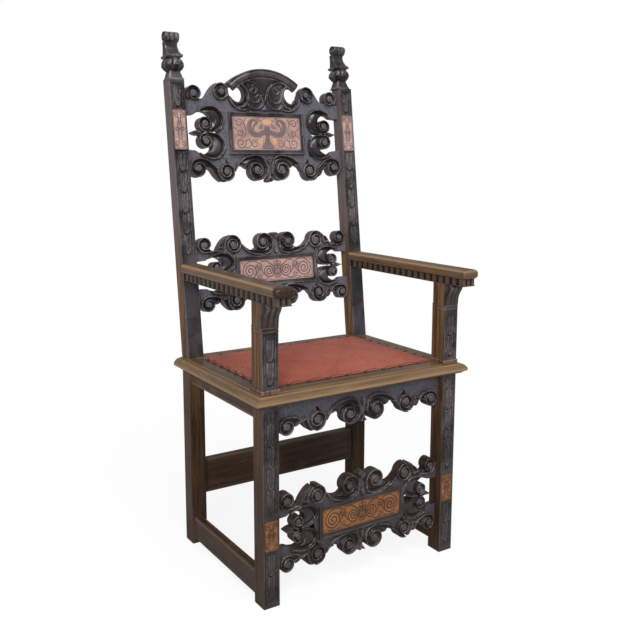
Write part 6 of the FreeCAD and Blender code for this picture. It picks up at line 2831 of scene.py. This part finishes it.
@dataclass(frozen=True)
class Studio:
    """Camera at the photograph's angle, pale floor and soft lamps."""

    camera: tuple[float, float, float] = (-1073.5, -1657.6, 970.8)
    azimuth: float = 32.26
    elevation: float = 8.8
    focal_pixels: float = 813.31
    centre_pixel: tuple[float, float] = (305.54, 286.65)
    sensor: float = 36.0
    floor_half: float = 30000.0
    floor_glow: float = 0.88
    floor_bounce: Colour = (0.42, 0.42, 0.43)
    floor_dark: Colour = (0.93, 0.93, 0.93)
    floor_light: Colour = (0.95, 0.95, 0.95)
    far_clip: float = 200.0
    sky: Colour = (0.97, 0.985, 1.0)
    white: Colour = (1.0, 1.0, 1.0)
    fill: float = 0.34
    suns: tuple[tuple[str, Colour, float, float], ...] = (
        ("ceiling_lamp", (0.1, 0.6, -1.0), 30.0, 2.1), ("left_lamp", (0.9, 1.0, -0.6), 20.0, 1.5))

    def set_camera(self) -> None:
        """Sets the camera up from the photograph's fitted view."""
        data = bpy.data.cameras.new("photo_camera")
        data.sensor_width = self.sensor
        data.lens = self.focal_pixels / IMAGE_SIDE * self.sensor
        data.shift_x = (IMAGE_SIDE / 2 - self.centre_pixel[0]) / IMAGE_SIDE
        data.shift_y = (self.centre_pixel[1] - IMAGE_SIDE / 2) / IMAGE_SIDE
        data.clip_end = self.far_clip
        eye = add_object("photo_camera", data)
        turn, tilt = math.radians(self.azimuth), math.radians(self.elevation)
        forward = Vector((math.sin(turn) * math.cos(tilt), math.cos(turn) * math.cos(tilt),
                          -math.sin(tilt)))
        eye.rotation_euler = forward.to_track_quat("-Z", "Y").to_euler()
        eye.location = Vector(self.camera) * MM
        bpy.context.scene.camera = eye

    def lay_floor(self) -> None:
        """Lays the pale floor."""
        size = self.floor_half
        points = np.array([(-size, -size, 0), (size, -size, 0), (size, size, 0), (-size, size, 0)])
        recipe = Recipe("pale_floor")
        cloud = recipe.noise(1.5)
        colour = recipe.mix(cloud, self.floor_dark, self.floor_light)
        path = recipe.node("ShaderNodeLightPath")
        colour = recipe.mix(path.outputs["Is Camera Ray"], self.floor_bounce, colour)
        recipe.finish(colour, 0.9, 0.1)
        bright = recipe.node("ShaderNodeEmission", Color=(*self.white, 1.0), Strength=1.0)
        share = recipe.math("MULTIPLY", path.outputs["Is Camera Ray"], self.floor_glow)
        blend = recipe.node("ShaderNodeMixShader", Fac=share)
        recipe.tree.links.new(recipe.shader.outputs[0], blend.inputs[1])
        recipe.tree.links.new(bright.outputs[0], blend.inputs[2])
        recipe.tree.links.new(blend.outputs[0],
                              recipe.tree.nodes["Material Output"].inputs["Surface"])
        mesh = bpy.data.meshes.new("floor")
        mesh.from_pydata([tuple(point * MM) for point in points], [], [(0, 1, 2, 3)])
        mesh.materials.append(recipe.material)
        floor = add_object("floor", mesh)

    def set_world(self) -> None:
        """Lights the room softly and shows camera and transmission rays a white wall."""
        world = bpy.data.worlds.new("studio")
        world.use_nodes = True
        tree = world.node_tree
        tree.nodes.clear()
        path = tree.nodes.new("ShaderNodeLightPath")
        seen = tree.nodes.new("ShaderNodeMath")
        seen.operation = "MAXIMUM"
        mix = tree.nodes.new("ShaderNodeMixShader")
        fill, wall = (tree.nodes.new("ShaderNodeBackground") for _ in range(2))
        for light, colour, strength in ((fill, self.sky, self.fill), (wall, self.white, 1.0)):
            light.inputs["Color"].default_value = (*colour, 1.0)
            light.inputs["Strength"].default_value = strength
        out = tree.nodes.new("ShaderNodeOutputWorld")
        for start, end in ((path.outputs["Is Camera Ray"], seen.inputs[0]),
                           (path.outputs["Is Transmission Ray"], seen.inputs[1]),
                           (seen.outputs[0], mix.inputs[0]), (fill.outputs[0], mix.inputs[1]),
                           (wall.outputs[0], mix.inputs[2]),
                           (mix.outputs[0], out.inputs["Surface"])):
            tree.links.new(start, end)
        bpy.context.scene.world = world

    def hang_sun(self, name: str, toward: tuple[float, float, float], spread: float,
                 strength: float) -> None:
        """Hangs a wide soft sun.

        Args:
            name: name of the lamp.
            toward: direction that its light travels in.
            spread: angle of the light in degrees.
            strength: watts per square metre.
        """
        data = bpy.data.lights.new(name, "SUN")
        data.angle = math.radians(spread)
        data.energy = strength
        lamp = add_object(name, data)
        lamp.rotation_euler = Vector(toward).to_track_quat("-Z", "Y").to_euler()

    def build(self) -> None:
        """Sets the whole studio up."""
        bpy.context.scene.view_settings.view_transform = "Standard"
        self.set_camera()
        self.lay_floor()
        self.set_world()
        for sun in self.suns:
            self.hang_sun(*sun)


def main() -> None:
    """Builds the chair's pieces in order."""
    logging.basicConfig(level=logging.INFO, format="%(message)s")
    CrestRail().build()
    ArchMoulding().build()
    LOWER_BACK.build()
    STRETCHER.build()
    FrontApron().build()
    Plaques().build()
    for side in Side:
        RearPost(side).build()
        Finial(side).build()
        FrontLeg(side).build()
        ArmSupport(side).build()
        ArmFrieze(side).build()
        ArmBoard(side).build()
    PlainRails().build()
    SeatFrame().build()
    pad = SeatPad()
    pad.build()
    Tacks().build(pad)
    Upholstery().dress()
    Studio().build()
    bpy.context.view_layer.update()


if __name__ == "__main__":
    main()
